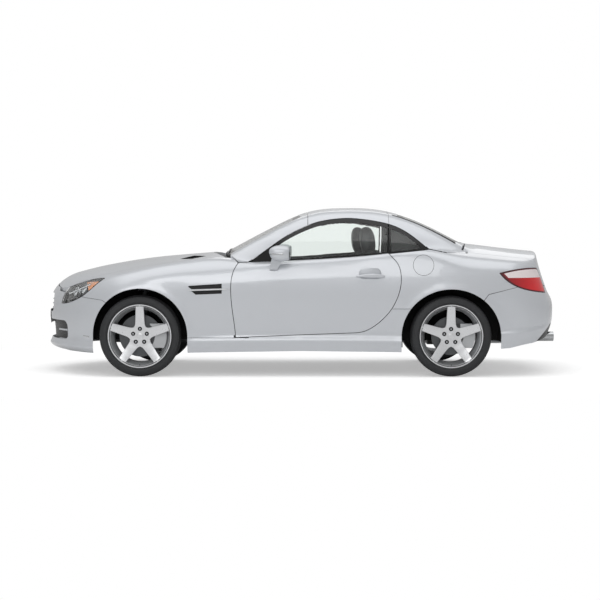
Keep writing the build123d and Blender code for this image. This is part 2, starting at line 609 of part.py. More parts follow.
def rim(axle, hub):
    barrel = polygon((218, -107), (247, -107), (247, -RIM_HALF), (RIM_R, -RIM_HALF), (RIM_R, RIM_HALF),
                     (247, RIM_HALF), (247, 107), (222, 107), (218, 100), (214, 60), (214, -90))
    hub_disc = polygon((SPINDLE_R, FACE), (82, FACE), (82, 66), (60, 70), (34, 70), (34, 74), (0, 76), (0, 62),
                       (SPINDLE_R, 62))
    body_ = turned(barrel, axle, hub) + turned(hub_disc, axle, hub)
    arm_side = polygon((60, FACE + 4), (60, 69), (84, 68), (150, 76), (226, 92), (226, 72), (150, 60), (84, 46))
    arm = extrude(Plane.XY * arm_side, amount=60, both=True)
    plan = extrude(Plane.XZ * polygon((40, -48), (80, -46), (226, -36), (226, 36), (80, 46), (40, 48)), amount=200, both=True)
    arm = mirror(arm, about=Plane.XZ) & plan
    for k in range(5):
        body_ += Pos(axle, -HALF_TRACK, hub) * (Rot(0, -90 + 72 * k, 0) * arm)
    body_ -= bolt_holes(axle, hub, BOLT_SEAT_R, 56, 90)
    body_ -= bolt_holes(axle, hub, BOLT_R, FACE - 5, 60)
    return solid_of(body_)


def disc(axle, hub, radius):
    profile = polygon((SPINDLE_R, 22), (84, 22), (84, -6), (radius, -6), (radius, 22), (92, 22), (92, FACE), (SPINDLE_R, FACE))
    return solid_of(turned(profile, axle, hub) - bolt_holes(axle, hub, BOLT_R, 20, FACE + 5))


def caliper(axle, hub, radius):
    """Straddles the disc on its tail side, with a bracket to the bearing housing."""
    outer = radius + 42
    ring = polygon((radius - 50, -30), (outer, -30), (outer, 43), (radius - 50, 43))
    block_ = turned(ring, axle, hub) & Pos(axle + 150, -HALF_TRACK, hub) * Box(300, 300, 190)
    slot = polygon((0, -11), (radius + 6, -11), (radius + 6, 27), (0, 27))
    bracket = block(axle + 30, axle + radius - 40, -HALF_TRACK + 11, -HALF_TRACK + 30, hub - 34, hub + 34)
    return (block_ - turned(slot, axle, hub)) + bracket


def spindle(axle, hub, inner):
    housing = polygon((0, -inner), (52, -inner), (52, -11.2), (50, 0), (48, 15), (SPINDLE_R - RUNNING, 15),
                      (SPINDLE_R - RUNNING, 58), (0, 58))
    return turned(housing, axle, hub)


KING_LOW = np.array([FRONT_AXLE - 2, -692.0, 176.0])
KING_HIGH = np.array([FRONT_AXLE + 26, -545.0, 800.0])
KING_WAY = (KING_HIGH - KING_LOW) / np.linalg.norm(KING_HIGH - KING_LOW)
PIN_R = 12.0


def along_king(radius, start, end):
    """A round bar on the steering axis, between two distances from its low end."""
    a = Vector(*(KING_LOW + start * KING_WAY))
    plane = Plane(origin=a, z_dir=Vector(*KING_WAY))
    return extrude(plane * Circle(radius), amount=end - start)


KNUCKLE_TOP = 300.0
knuckle = along_king(30, 22, KNUCKLE_TOP) + spindle(FRONT_AXLE, FRONT_TYRE_R, 146) + caliper(FRONT_AXLE, FRONT_TYRE_R, 165)
knuckle += block(FRONT_AXLE - 150, FRONT_AXLE, -676, -650, 290, 316)
knuckle -= along_king(PIN_R, 0, 400)
save_pair("front_knuckle", solid_of(knuckle))
rear_knuckle = spindle(REAR_AXLE, REAR_TYRE_R, 150) + caliper(REAR_AXLE, REAR_TYRE_R, 150)
rear_knuckle += block(REAR_AXLE - 28, REAR_AXLE + 28, -690, -630, 214, REAR_TYRE_R)

for end_name, axle, radius, width, disc_r in (("front", FRONT_AXLE, FRONT_TYRE_R, FRONT_TYRE_W, 165.0),
                                              ("rear", REAR_AXLE, REAR_TYRE_R, REAR_TYRE_W, 150.0)):
    save_pair(f"{end_name}_tyre", tyre(axle, radius, width))
    save_pair(f"{end_name}_rim", rim(axle, radius))
    save_pair(f"{end_name}_brake_disc", disc(axle, radius, disc_r))

# ---------------------------------------------------------------- running gear
TOWER_Z = 800.0           # underside of the plates on the front struts
front_gear = block(FRONT_AXLE - 130, FRONT_AXLE + 130, -380, 380, 168, 230)
arm_plan = polygon((FRONT_AXLE - 24, -680), (FRONT_AXLE + 22, -680), (FRONT_AXLE + 118, -380), (FRONT_AXLE - 118, -380))
for wing in (lambda s: s, lambda s: mirror(s, about=Plane.XZ)):
    arm = top_prism(arm_plan, 170, 186) + along_king(28, -6, 16)
    arm += along_king(PIN_R - RUNNING, 10, KNUCKLE_TOP + 14)
    arm += along_king(24, KNUCKLE_TOP + 6, 480) + along_king(58, 500, 610)
    arm += along_king(24, 470, 650) & block(-2000, 0, -1000, 0, 0, TOWER_Z - SEAT)
    front_gear += wing(arm)
save("front_suspension", solid_of(front_gear))

rear_gear = block(REAR_AXLE - 150, REAR_AXLE + 150, -360, 360, 220, 290)
for wing in (lambda s: s, lambda s: mirror(s, about=Plane.XZ)):
    arm = block(REAR_AXLE - 60, REAR_AXLE + 60, -640, -350, 214, 240)
    arm += Pos(REAR_AXLE, -583, 399.8) * Cylinder(14, 340) + Pos(REAR_AXLE, -583, 460) * Cylinder(26, 180)
    rear_gear += wing(arm + rear_knuckle)
save("rear_suspension", solid_of(rear_gear))

# ---------------------------------------------------------------- wheel wells

def well(axle, radius, inner):
    """Half-round liner over a wheel, closed by a wall inboard of it."""
    ring = Circle(radius + WELL_SKIN) - Circle(radius)
    centre = Pos(axle, FRONT_TYRE_R)
    shell_ = extrude(Plane.XZ.offset(inner) * (centre * ring), amount=WELL_OUT - inner)
    shell_ += extrude(Plane.XZ.offset(inner) * (centre * Circle(radius + WELL_SKIN)), amount=WELL_SKIN)
    return shell_ & block(axle - 600, axle + 600, -1000, -400, 270, 1000)


nose_taper = top_prism(polygon((-1700, -755), (-1656, -784), (-1542, -857), (-1480, -864), (-1480, -1000), (-1700, -1000)))
front_well = well(FRONT_AXLE, WELL_FRONT, 473.3) - along_king(66, 300, 640) - nose_taper
rear_well = well(REAR_AXLE, WELL_REAR, 612)
save("front_wheel_liners", solid_of(front_well), mirror(solid_of(front_well), about=Plane.XZ))
save("rear_wheel_liners", solid_of(rear_well), mirror(solid_of(rear_well), about=Plane.XZ))

# ---------------------------------------------------------------- structure
SILL_IN = 742.0           # inner faces of the sills
FLOOR = 200.0             # underside of the floor
FLOOR_TOP = 212.0
FIREWALL_X = -650.0
BULKHEAD_X = 800.0

floor = block(FIREWALL_X, BULKHEAD_X, -SILL_IN, SILL_IN, FLOOR, FLOOR_TOP)
floor -= both_sides(block(740, 900, -900, -610, 0, 300))
tunnel = block(FIREWALL_X + 16, BULKHEAD_X, -90, 90, FLOOR_TOP, 330)
save("floor_pan", solid_of(floor + tunnel))

BONNET_PIN = (-500.0, 890.0)  # hinge axis of the bonnet, from the side
arm_room = both_sides(block(-800, -440, -596, -556, 790, 1100))
firewall = block(FIREWALL_X, FIREWALL_X + 16, -SILL_IN, SILL_IN, FLOOR_TOP, 880)
firewall += carved(fan(whole, COWL_HUB, 60, 125, 720, 70, inset=COWL_DEPTH + COWL_THICK + LOOSE_SEAT),
                   [block(FIREWALL_X, FIREWALL_X + 16, -680, 680, 860, 1100)])
post = block(FIREWALL_X, -440, -SILL_IN, -722, FLOOR_TOP, 870) + block(-545, -440, -800, -730, 430, 840)
hinge_lug = block(DOOR_PIN[0] - 10, DOOR_PIN[0] + 10, DOOR_PIN[1], -790, 0, 20) + Pos(*DOOR_PIN, 10) * Cylinder(DOOR_EYE_R, 20)
post += Pos(0, 0, 590) * hinge_lug + Pos(0, 0, 660) * hinge_lug + Pos(*DOOR_PIN, 635) * Cylinder(DOOR_PIN_R, 90)
bonnet_bracket = block(FIREWALL_X + 10, -488, -608, -600, 830, 902) + side_prism(Pos(*BONNET_PIN) * Circle(PIN_R_LID), 564, 604)
firewall = firewall - arm_room + both_sides(post + bonnet_bracket)
save("firewall", solid_of(firewall))
bonnet_arms = gooseneck(BONNET_PIN, 570, (-560, 845), (-600, 830), (-655, 858), (-697, 926))
save("bonnet", solid_of(bonnet_skin + bonnet_arms))

rail = block(-1870, FIREWALL_X - SEAT, -461, -391, 300, 390) + block(-1870, -1820, -461, -391, 380, 474) + block(-1920, -1820, -461, -391, 440, 470)
apron = side_prism(polygon((-1745, 320), (FIREWALL_X - SEAT, 320), (FIREWALL_X - SEAT, 845), (-1000, 845), (-1450, 800),
                           (-1745, 730)), 461, 473)
tower = block(FRONT_AXLE - 90, FRONT_AXLE + 130, -745, -461, TOWER_Z, TOWER_Z + 12)
fender_post = carved(side(body, -1880, -445, -30, 60, 60, inset=SKIN + LOOSE_SEAT),
                     [block(FRONT_AXLE - 60, FRONT_AXLE + 90, -745, -720, 760, 900)])
lamp_post = carved(end(body, -1400, -1, 99, 540, 790, 14, inset=LAMP_DEPTH + LOOSE_SEAT),
                   [block(-1740, -1690, -900, -400, 630, 680)])
lamp_bar = block(-1740, -1700, -606, -461, 640, 660)
beam = carved(end(body, -1400, -1, 97, 165, 790, 110, inset=BUMPER_SKIN + LOOSE_SEAT), [block(-2200, -1700, -500, 500, 435, 475)])
front_frame = both_sides(rail + apron + tower + lamp_bar) + beam
for piece in (*both_sides(fender_post).solids(), *both_sides(lamp_post).solids()):
    front_frame += piece
save("front_frame", solid_of(front_frame))

shelf_way = fan(whole, ROOF_HUB, 25, 68, 760, 6, inset=FRAME_THICK + LOOSE_SEAT)
rear_shelf = carved(shelf_way, [block(1262, 1312, -552, 552, 900, 1100)])
upright_way = fan(whole, ROOF_HUB, 25, 68, 760, 140, inset=FRAME_THICK + LOOSE_SEAT)
upright = carved(upright_way, [side_prism(polygon((1215, 860), (1320, 860), (1320, 1100), (1215, 1100)), 540, 552)])
lid_pin = side_prism(Pos(*BOOT_PIN) * Circle(PIN_R_LID), 476, 546)
quarter_post = carved(end(body, 1400, 1, 99, 620, 860, 14, inset=LAMP_DEPTH + LOOSE_SEAT),
                      [block(1700, 1760, -900, -400, 730, 780)])
quarter_bar = block(1705, 1745, -760, -545, 745, 765)
rear_beam = carved(end(body, 1400, 1, 45, 400, 620, 110, inset=BUMPER_SKIN + LOOSE_SEAT),
                   [block(1700, 2200, -480, 480, 480, 540)])
rear_leg = block(1895, 1935, -470, -400, 335, 530)
boot_floor = block(BULKHEAD_X + 16 + SEAT, 1940, -540, 540, 330, 342)
boot_wall = side_prism(polygon((BULKHEAD_X + 16 + SEAT, 330), (1940, 330), (1940, 680), (1850, 700), (1840, 850),
                               (1300, 900), (BULKHEAD_X + 16 + SEAT, 900)), 540, 552)
tower = block(REAR_AXLE - 90, REAR_AXLE + 90, -611.7, -540, 570, 582)
rear_frame = boot_floor + both_sides(boot_wall + tower) + both_sides(quarter_bar) + both_sides(rear_leg)
for piece in (rear_beam, rear_shelf, *both_sides(upright).solids(), *both_sides(lid_pin).solids(), *both_sides(quarter_post).solids()):
    rear_frame += piece
save("rear_frame", solid_of(rear_frame))

# ---------------------------------------------------------------- engine, exhaust
save("engine", block(-1560, -820, -250, 250, 230 + SEAT, 800))
silencer = block(1500, 1860, -520, 520, 240, 330 - SEAT)
save("exhaust", solid_of(silencer + both_sides(Pos(1940, -430, EXHAUST_Z) * Rot(0, 90, 0) * Cylinder(EXHAUST_R, 200))))

# ---------------------------------------------------------------- cabin
DRIVER_Y = -365.0
WHEEL_C = Vector(-80, DRIVER_Y, 790)
dash_side = polygon((FIREWALL_X + 16, 560), (-380, 560), (-330, 640), (-300, 780), (-330, 850), (-420, 880),
                    (FIREWALL_X + 16, 880))
column = Plane(origin=WHEEL_C, z_dir=Vector(1, 0, 0.42).normalized())
STEM_R = 22.0
dash = side_prism(dash_side, -690, 690) - extrude(column.offset(-60) * Circle(STEM_R + RUNNING), amount=-300)
dash -= both_sides(block(-640, -440, -612, -552, 800, 900))
save("dashboard", solid_of(dash))
ring = column * Torus(182, 15)
hub_disc = extrude(column * Circle(52), amount=18, both=True)
bar = extrude(column * Rectangle(44, 350), amount=8, both=True)
drop_bar = extrude(column * (Pos(88, 0) * Rectangle(176, 44)), amount=8, both=True)
stem = extrude(column.offset(-15) * Circle(STEM_R), amount=-300)
steering = ring + hub_disc + (bar & extrude(column * Circle(184), amount=30, both=True))
steering += stem
save("steering_wheel", solid_of(steering))

SEAT_X = 575.0            # back of the seat cushion
cushion = block(SEAT_X - 540, SEAT_X - 85, DRIVER_Y - 235, DRIVER_Y + 235, 250, 400)
back_side = polygon((SEAT_X - 145, 330), (SEAT_X, 330), (SEAT_X + 75, 930), (SEAT_X - 45, 930))
backrest = side_prism(back_side, -DRIVER_Y - 220, -DRIVER_Y + 220)
seat = cushion + backrest + block(SEAT_X - 45, SEAT_X + 45, DRIVER_Y - 110, DRIVER_Y + 110, 920, 1165) + block(
    SEAT_X - 490, SEAT_X - 40, DRIVER_Y - 190, DRIVER_Y + 190, FLOOR_TOP, 260)
save_pair("seat", solid_of(seat))
save("centre_console", side_prism(polygon((-330, 330), (620, 330), (620, 470), (-100, 450), (-330, 500)), -88, 88))
bulkhead = block(BULKHEAD_X, BULKHEAD_X + 16, -608, 608, FLOOR_TOP, 960)
hoop = block(BULKHEAD_X, BULKHEAD_X + 16, DRIVER_Y - 150, DRIVER_Y + 150, 960, 1130)
post = block(BULKHEAD_X, BULKHEAD_X + 16, -800, -600, 560, 640) + carved(
    side(body, 610, 1700, -24, 48, 90, hub=(-150.0, 500.0), lean=(1300, 0.36), inset=SKIN + LOOSE_SEAT),
    [block(BULKHEAD_X, BULKHEAD_X + 16, -1000, -700, 560, 640)])
save("rear_bulkhead", solid_of(bulkhead + both_sides(hoop + post)))

# ---------------------------------------------------------------- mirrors and handles
over_door = side(body, -600, 840, -30, 58, 80, inset=-LOOSE_SEAT)
mirror_head = fillet(block(-236, -74, -1000, -850, 904, 1022).edges(), 30)
mirror_foot = side_prism(polygon((-240, 860), (-176, 860), (-150, 930), (-226, 930)), 770, 890)
save_pair("door_mirror", solid_of(mirror_head + (mirror_foot - over_door)))

bar = fillet(block(432, 662, -907, -893, 772, 798).edges().filter_by(Axis.X), 6)
posts = block(474, 492, -900, -HANDLE_SEAT - SEAT, 782, 796) + block(600, 618, -900, -HANDLE_SEAT - SEAT, 782, 796)
save_pair("door_handle", solid_of(bar + posts))
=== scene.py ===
"""The looks of a two-seat roadster with its folding hardtop closed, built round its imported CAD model.

Metres, +X to the tail, +Y to the car's right-hand side, +Z up, ground at z = 0."""
import json
import math
import bpy
import bmesh
from mathutils import Matrix, Vector
from mathutils.bvhtree import BVHTree

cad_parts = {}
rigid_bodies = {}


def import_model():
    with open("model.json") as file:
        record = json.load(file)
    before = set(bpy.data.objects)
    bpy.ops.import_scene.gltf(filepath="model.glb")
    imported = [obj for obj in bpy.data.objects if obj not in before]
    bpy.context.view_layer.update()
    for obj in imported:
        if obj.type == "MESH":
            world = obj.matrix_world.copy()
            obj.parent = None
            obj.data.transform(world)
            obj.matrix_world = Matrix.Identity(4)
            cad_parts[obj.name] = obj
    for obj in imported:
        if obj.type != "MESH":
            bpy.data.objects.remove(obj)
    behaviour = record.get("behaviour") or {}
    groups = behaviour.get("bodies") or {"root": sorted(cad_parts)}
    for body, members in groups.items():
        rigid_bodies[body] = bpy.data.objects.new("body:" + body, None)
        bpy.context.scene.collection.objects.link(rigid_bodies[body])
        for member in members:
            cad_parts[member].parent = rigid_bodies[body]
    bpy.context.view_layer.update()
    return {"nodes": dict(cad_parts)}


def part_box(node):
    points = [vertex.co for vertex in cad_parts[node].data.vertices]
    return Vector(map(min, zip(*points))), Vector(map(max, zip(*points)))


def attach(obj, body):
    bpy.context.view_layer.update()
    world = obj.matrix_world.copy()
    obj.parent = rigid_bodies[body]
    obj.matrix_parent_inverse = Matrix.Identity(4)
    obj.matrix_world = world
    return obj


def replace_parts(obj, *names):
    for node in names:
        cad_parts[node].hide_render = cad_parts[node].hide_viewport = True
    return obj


for left_over in list(bpy.data.objects):
    bpy.data.objects.remove(left_over)
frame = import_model()

# ------------------------------------------------------------ camera, floor and light
# A white studio: a long lens square to the car's side at chest height, a big soft box overhead,
# weaker ones on the near side and behind, and a seamless white floor that keeps the car's shadow.


def colour(code):
    """An sRGB hex colour as linear RGBA."""
    parts = [int(code[k:k + 2], 16) / 255 for k in (0, 2, 4)]
    return [c / 12.92 if c <= 0.04045 else ((c + 0.055) / 1.055) ** 2.4 for c in parts] + [1.0]


def add(owner, kind, inputs=None, **settings):
    """Adds a shader node; inputs gives each socket its value, or the socket or node that feeds it."""
    node = owner.node_tree.nodes.new("ShaderNode" + kind)
    for name, value in settings.items():
        setattr(node, name, value)
    for name, value in (inputs or {}).items():
        if isinstance(value, bpy.types.Node):
            value = next(output for output in value.outputs if output.enabled)
        if isinstance(value, bpy.types.NodeSocket):
            owner.node_tree.links.new(value, node.inputs[name])
        else:
            node.inputs[name].default_value = value
    return node


def blank(name):
    """A material with an empty node tree."""
    material = bpy.data.materials.new(name)
    material.use_nodes = True
    material.node_tree.nodes.clear()
    return material


def piece(name, bm, materials, body=None, sharp=40, smooth=True):
    """Makes a bmesh an object with its finish, and fixes it to a CAD body."""
    mesh = bpy.data.meshes.new(name)
    bm.to_mesh(mesh)
    bm.free()
    if "custom_normal" in mesh.attributes:      # left over from a copied CAD node, and stale once it is cut
        mesh.attributes.remove(mesh.attributes["custom_normal"])
    made = bpy.data.objects.new(name, mesh)
    bpy.context.collection.objects.link(made)
    for material in materials if isinstance(materials, (list, tuple)) else [materials]:
        mesh.materials.append(material)
    for face in mesh.polygons:
        face.use_smooth = smooth
    if smooth:
        mesh.set_sharp_from_angle(angle=math.radians(sharp))
    if body:
        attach(made, body)
    return made


CAMERA_HEIGHT = 1.129     # chest height, and almost level
CAMERA_AWAY = 13.87
camera = bpy.data.objects.new("side_camera", bpy.data.cameras.new("side_camera"))
camera.data.lens = 100.2
camera.data.sensor_width = 36
camera.data.clip_end = 200
camera.location = (0, -CAMERA_AWAY, CAMERA_HEIGHT)
camera.rotation_euler = (math.radians(90 - 2.33), 0, 0)
bpy.context.collection.objects.link(camera)
bpy.context.scene.camera = camera
bpy.context.scene.view_settings.view_transform = "Standard"

LIGHTS = (("overhead_box", (0, -1.0, 6.0), (0, 0, 0.5), (9, 6), 170),      # place, aim, size, watts
          ("near_box", (-2, -9, 4.5), (0, 0, 0.6), (7, 3), 150),
          ("far_box", (2, 8, 5.0), (0, 0, 0.6), (7, 3), 60))
for name, place, aim, size, power in LIGHTS:
    lamp = bpy.data.objects.new(name, bpy.data.lights.new(name, "AREA"))
    lamp.data.shape = "RECTANGLE"
    lamp.data.size, lamp.data.size_y = size
    lamp.data.energy = power
    lamp.location = place
    lamp.rotation_euler = (Vector(aim) - Vector(place)).to_track_quat("-Z", "Y").to_euler()
    bpy.context.collection.objects.link(lamp)

world = bpy.data.worlds.new("white_studio")
world.use_nodes = True
world.node_tree.nodes.clear()


def straight(owner):
    """Is 1 for what the camera sees, also through glass, and 0 for light that falls on the car."""
    ray = add(owner, "LightPath").outputs
    return add(owner, "Math", {0: ray["Is Camera Ray"], 1: ray["Is Transmission Ray"]}, operation="MAXIMUM")


dome = add(world, "Background", {"Color": (1, 1, 1, 1), "Strength": 0.50})
white = add(world, "Background", {"Color": (1, 1, 1, 1), "Strength": 1.0})
both = add(world, "MixShader", {0: straight(world), 1: dome, 2: white})
add(world, "OutputWorld", {"Surface": both})
bpy.context.scene.world = world

CARD_GREY, CARD_LIFT = 0.86, 0.42      # the card's own white, and what it glows to the eye
CARD_TO, WHITE_FROM = 2.0, 4.0         # distances from the middle of the car
studio_floor = blank("white_floor")     # matt white card that turns into the backdrop's white away from the car
eye = straight(studio_floor)
place = add(studio_floor, "TexCoord").outputs["Object"]
away = add(studio_floor, "VectorMath", {0: place, 1: (0.8, 1.4, 0)}, operation="MULTIPLY")
away = add(studio_floor, "VectorMath", {0: away}, operation="LENGTH")
away = add(studio_floor, "MapRange", {"Value": away.outputs["Value"], "From Min": CARD_TO, "From Max": WHITE_FROM},
           interpolation_type="SMOOTHSTEP")
away = add(studio_floor, "Math", {0: away, 1: eye}, operation="MULTIPLY")
lift = add(studio_floor, "Math", {0: eye, 1: CARD_LIFT}, operation="MULTIPLY")
card = add(studio_floor, "BsdfDiffuse", {"Color": (CARD_GREY, CARD_GREY, CARD_GREY, 1)})
toward_tail = add(studio_floor, "Emission", {"Color": (1, 1, 1, 1), "Strength": lift})
near = add(studio_floor, "AddShader", {0: card, 1: toward_tail})
far = add(studio_floor, "Emission", {"Color": (1, 1, 1, 1), "Strength": 1.0})
card = add(studio_floor, "MixShader", {0: away, 1: near, 2: far})
add(studio_floor, "OutputMaterial", {"Surface": card})
bm = bmesh.new()
bmesh.ops.create_grid(bm, x_segments=1, y_segments=1, size=60)
piece("floor", bm, studio_floor)

# ------------------------------------------------------------ painted panels
# Pressed steel and aluminium panels in light silver metallic under clear lacquer. The flakes give
# the paint a fine sparkle and the lacquer a sharp gloss; the panels are bolted and clipped on.
FLAKE = 0.0016            # real flakes are 0.03 mm, drawn coarse enough to show
silver = blank("silver_metallic_paint")
place = add(silver, "TexCoord").outputs["Object"]
flakes = add(silver, "TexVoronoi", {"Vector": place, "Scale": 1 / FLAKE})
cloud = add(silver, "TexNoise", {"Vector": place, "Scale": 2.2, "Detail": 2.0})
tone = add(silver, "Mix", {"Factor": flakes.outputs["Distance"], 6: colour("D3D6DA"), 7: colour("C6C9CE")},
           data_type="RGBA")
tone = add(silver, "Mix", {"Factor": cloud.outputs["Fac"], 6: tone, 7: colour("CDD0D5")},
           data_type="RGBA")
relief = add(silver, "Bump", {"Height": flakes.outputs["Distance"], "Strength": 0.03, "Distance": 0.0004})
paint = add(silver, "BsdfPrincipled",
            {"Base Color": tone, "Metallic": 0.35, "Roughness": 0.36, "Normal": relief,
             "Coat Weight": 0.8, "Coat Roughness": 0.04})
add(silver, "OutputMaterial", {"Surface": paint})


def dress(material, *names):
    """Gives CAD nodes a finish in their own material slots."""
    for name in names:
        for held in frame["nodes"][name].material_slots:
            held.material = material


dress(silver, "bonnet", "boot_lid", "roof_panel", "windscreen_frame", "rear_roof_frame", "rear_bumper",
      "side_sill_left", "side_sill_right", "rear_quarter_left", "rear_quarter_right", "door_left", "door_right",
      "front_fender_left", "front_fender_right", "front_bumper", "door_handle_left", "door_handle_right")

# ------------------------------------------------------------ tyres
# Low tyres of vulcanised rubber, moulded with four rain grooves and fine cuts across the shoulders.
# The sidewall and tread are one matt rubber, with the cuts darker by painted shade; each is seated on its rim's
# beads.


def outward(bm):
    """Turns all faces to the outside."""
    bmesh.ops.recalc_face_normals(bm, faces=bm.faces)
    return bm


def turned(points, closed=True, steps=96):
    """A profile of (radius, distance outboard), turned about the Y axis for a left-hand wheel."""
    bm = bmesh.new()
    ring = [bm.verts.new((r, -out, 0)) for r, out in points]
    for a, b in zip(ring, ring[1:] + ring[:1] if closed else ring[1:]):
        bm.edges.new((a, b))
    bmesh.ops.spin(bm, geom=bm.verts[:] + bm.edges[:], cent=(0, 0, 0), axis=(0, 1, 0), dvec=(0, 0, 0),
                   angle=math.tau, steps=steps, use_merge=True)
    bmesh.ops.remove_doubles(bm, verts=bm.verts, dist=1e-5)
    return outward(bm)


def placed(bm, side, hub):
    """Turns a left-hand shape into a right-hand one where side is 1, and moves it to its hub."""
    if side > 0:
        bmesh.ops.scale(bm, vec=(1, -1, 1), verts=bm.verts)
        bmesh.ops.reverse_faces(bm, faces=bm.faces)
    bmesh.ops.translate(bm, vec=hub, verts=bm.verts)
    return bm


TREAD_BLOCKS = 72         # round the tyre
TREAD_DEPTH = 0.008
SHOULDER = 0.016          # the cuts run this far down from the crown
TREAD_SKEW = 1.6          # how far the cuts turn per metre across the tread
HANDS = (("left", -1), ("right", 1))
WHEELS = []               # (end, hand, side, hub centre)
for end in ("front", "rear"):
    for hand, side in HANDS:
        low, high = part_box(f"{end}_tyre_{hand}")
        WHEELS.append((end, hand, side, (Vector(low) + Vector(high)) / 2))

for end, hand, side, hub in WHEELS:
    low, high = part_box(f"{end}_tyre_{hand}")
    r, w = (high[2] - low[2]) / 2, (high[1] - low[1]) / 2
    groove = r - TREAD_DEPTH
    half = [(r - 0.0005, 0.004), (r - 0.0005, 0.022), (groove, 0.023), (groove, 0.031), (r - 0.001, 0.032),
            (r - 0.0015, w - 0.052), (groove, w - 0.051), (groove, w - 0.044), (r - 0.002, w - 0.043),
            (r - 0.0045, w - 0.026), (r - 0.009, w - 0.015), (r - 0.017, w - 0.0065), (r - 0.021, w - 0.0062),
            (r - 0.022, w - 0.0045), (r - 0.034, w - 0.0015), (r - 0.047, w), (r - 0.052, w),
            (r - 0.053, w - 0.0012), (r - 0.058, w - 0.003), (r - 0.0595, w - 0.0035), (r - 0.0605, w - 0.0020),
            (r - 0.0635, w - 0.0040), (r - 0.066, w - 0.009), (0.2475, 0.1055), (0.240, 0.1005), (0.2335, 0.099)]
    bm = turned(half + [(radius, -out) for radius, out in reversed(half)], steps=128)
    rubber = blank(f"tyre_rubber_{end}_{hand}")     # black rubber, dusty on the walls, with painted shade in the cuts across the shoulders
    place = add(rubber, "TexCoord").outputs["Object"]
    place = add(rubber, "Mapping", {"Vector": place, "Location": -hub})
    parts = add(rubber, "SeparateXYZ", {"Vector": place})
    angle = add(rubber, "Math", {0: parts.outputs["Z"], 1: parts.outputs["X"]}, operation="ARCTAN2")
    skew = add(rubber, "Math", {0: parts.outputs["Y"], 1: TREAD_SKEW}, operation="MULTIPLY")
    turn = add(rubber, "Math", {0: angle, 1: skew}, operation="ADD")
    turn = add(rubber, "Math", {0: turn, 1: TREAD_BLOCKS}, operation="MULTIPLY")
    # the cuts across the shoulders: they give the tread its relief and carry painted shade
    cut_and_painted_shade = add(rubber, "Math", {0: turn}, operation="SINE")
    cut_and_painted_shade = add(rubber, "Math", {0: cut_and_painted_shade, 1: 0.86}, operation="GREATER_THAN")
    flat = add(rubber, "VectorMath", {0: place, 1: (1, 0, 1)}, operation="MULTIPLY")
    radius = add(rubber, "VectorMath", {0: flat}, operation="LENGTH")
    tread = add(rubber, "Math", {0: radius.outputs["Value"], 1: r - SHOULDER}, operation="GREATER_THAN")
    cut_and_painted_shade = add(rubber, "Math", {0: cut_and_painted_shade, 1: tread}, operation="MULTIPLY")
    dust = add(rubber, "TexNoise", {"Vector": place, "Scale": 24.0, "Detail": 6.0})
    tone = add(rubber, "Mix", {"Factor": dust.outputs["Fac"], 6: colour("242527"), 7: colour("2E2F31")},
               data_type="RGBA")
    # painted shade: the cuts across the shoulders are coloured near-black
    tone = add(rubber, "Mix", {"Factor": cut_and_painted_shade, 6: tone, 7: colour("101011")}, data_type="RGBA")
    height = add(rubber, "Math", {0: dust.outputs["Fac"], 1: 0.06}, operation="MULTIPLY")
    height = add(rubber, "Math", {0: height, 1: cut_and_painted_shade}, operation="SUBTRACT")
    relief = add(rubber, "Bump", {"Height": height, "Strength": 0.8, "Distance": 0.003})
    skin = add(rubber, "BsdfPrincipled", {"Base Color": tone, "Roughness": 0.62, "Normal": relief})
    add(rubber, "OutputMaterial", {"Surface": skin})
    made = piece(f"{end}_tyre_tread_{hand}", placed(bm, side, hub), rubber, f"{end}_wheel_{hand}", sharp=50)
    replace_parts(made, f"{end}_tyre_{hand}")

# ------------------------------------------------------------ alloy wheels
# Cast aluminium wheels with five straight tapered spokes, sprayed satin silver under lacquer. Each is
# held by five dark bolts in deep seats; a plain round cap closes the hub.
STAR_ROWS = 30
STAR_COLUMNS = 12
SPOKES = 5
SPOKE_STEP = math.tau / SPOKES
SPOKE_DEPTH = 0.030
HOLE_R = 0.018            # the star's inner radius
STAR_R = 0.2395           # and its outer one
WEB_R = 0.085             # the webs between the spokes reach this far from the hub
BOLT_CIRCLE_R = 0.056
FACE_HEIGHT = ((0.0, 0.0690), (0.040, 0.0685), (0.085, 0.0680), (0.150, 0.0780), (0.226, 0.0935), (0.2375, 0.0985))


def height_at(radius):
    """How far outboard the wheel's face lies at this radius."""
    for (r0, h0), (r1, h1) in zip(FACE_HEIGHT, FACE_HEIGHT[1:]):
        if radius <= r1:
            return h0 + (h1 - h0) * (radius - r0) / (r1 - r0)
    return FACE_HEIGHT[-1][1]


def moulded(name, code, roughness, grain, depth, metallic=0.0, coat=0.0):
    """A finish with a cell-like grain: grain across in metres, depth of its relief in metres."""
    material = blank(name)
    place = add(material, "TexCoord").outputs["Object"]
    cells = add(material, "TexVoronoi", {"Vector": place, "Scale": 1 / grain})
    mist = add(material, "TexNoise", {"Vector": place, "Scale": 0.12 / grain, "Detail": 4.0})
    base = colour(code)
    darker = [c * 0.78 for c in base[:3]] + [1.0]
    tone = add(material, "Mix", {"Factor": mist.outputs["Fac"], 6: base, 7: darker}, data_type="RGBA")
    gloss = add(material, "MapRange", {"Value": mist.outputs["Fac"], "To Min": max(roughness - 0.07, 0.02),
                                       "To Max": min(roughness + 0.07, 1.0)})
    relief = add(material, "Bump", {"Height": cells.outputs["Distance"], "Strength": 0.6, "Distance": depth})
    body = add(material, "BsdfPrincipled",
               {"Base Color": tone, "Roughness": gloss, "Normal": relief,
                "Metallic": metallic, "Coat Weight": coat, "Coat Roughness": 0.08})
    add(material, "OutputMaterial", {"Surface": body})
    return material


def gather(whole, part):
    """Adds one bmesh to another and frees it."""
    mesh = bpy.data.meshes.new("part")
    part.to_mesh(mesh)
    whole.from_mesh(mesh)
    bpy.data.meshes.remove(mesh)
    part.free()


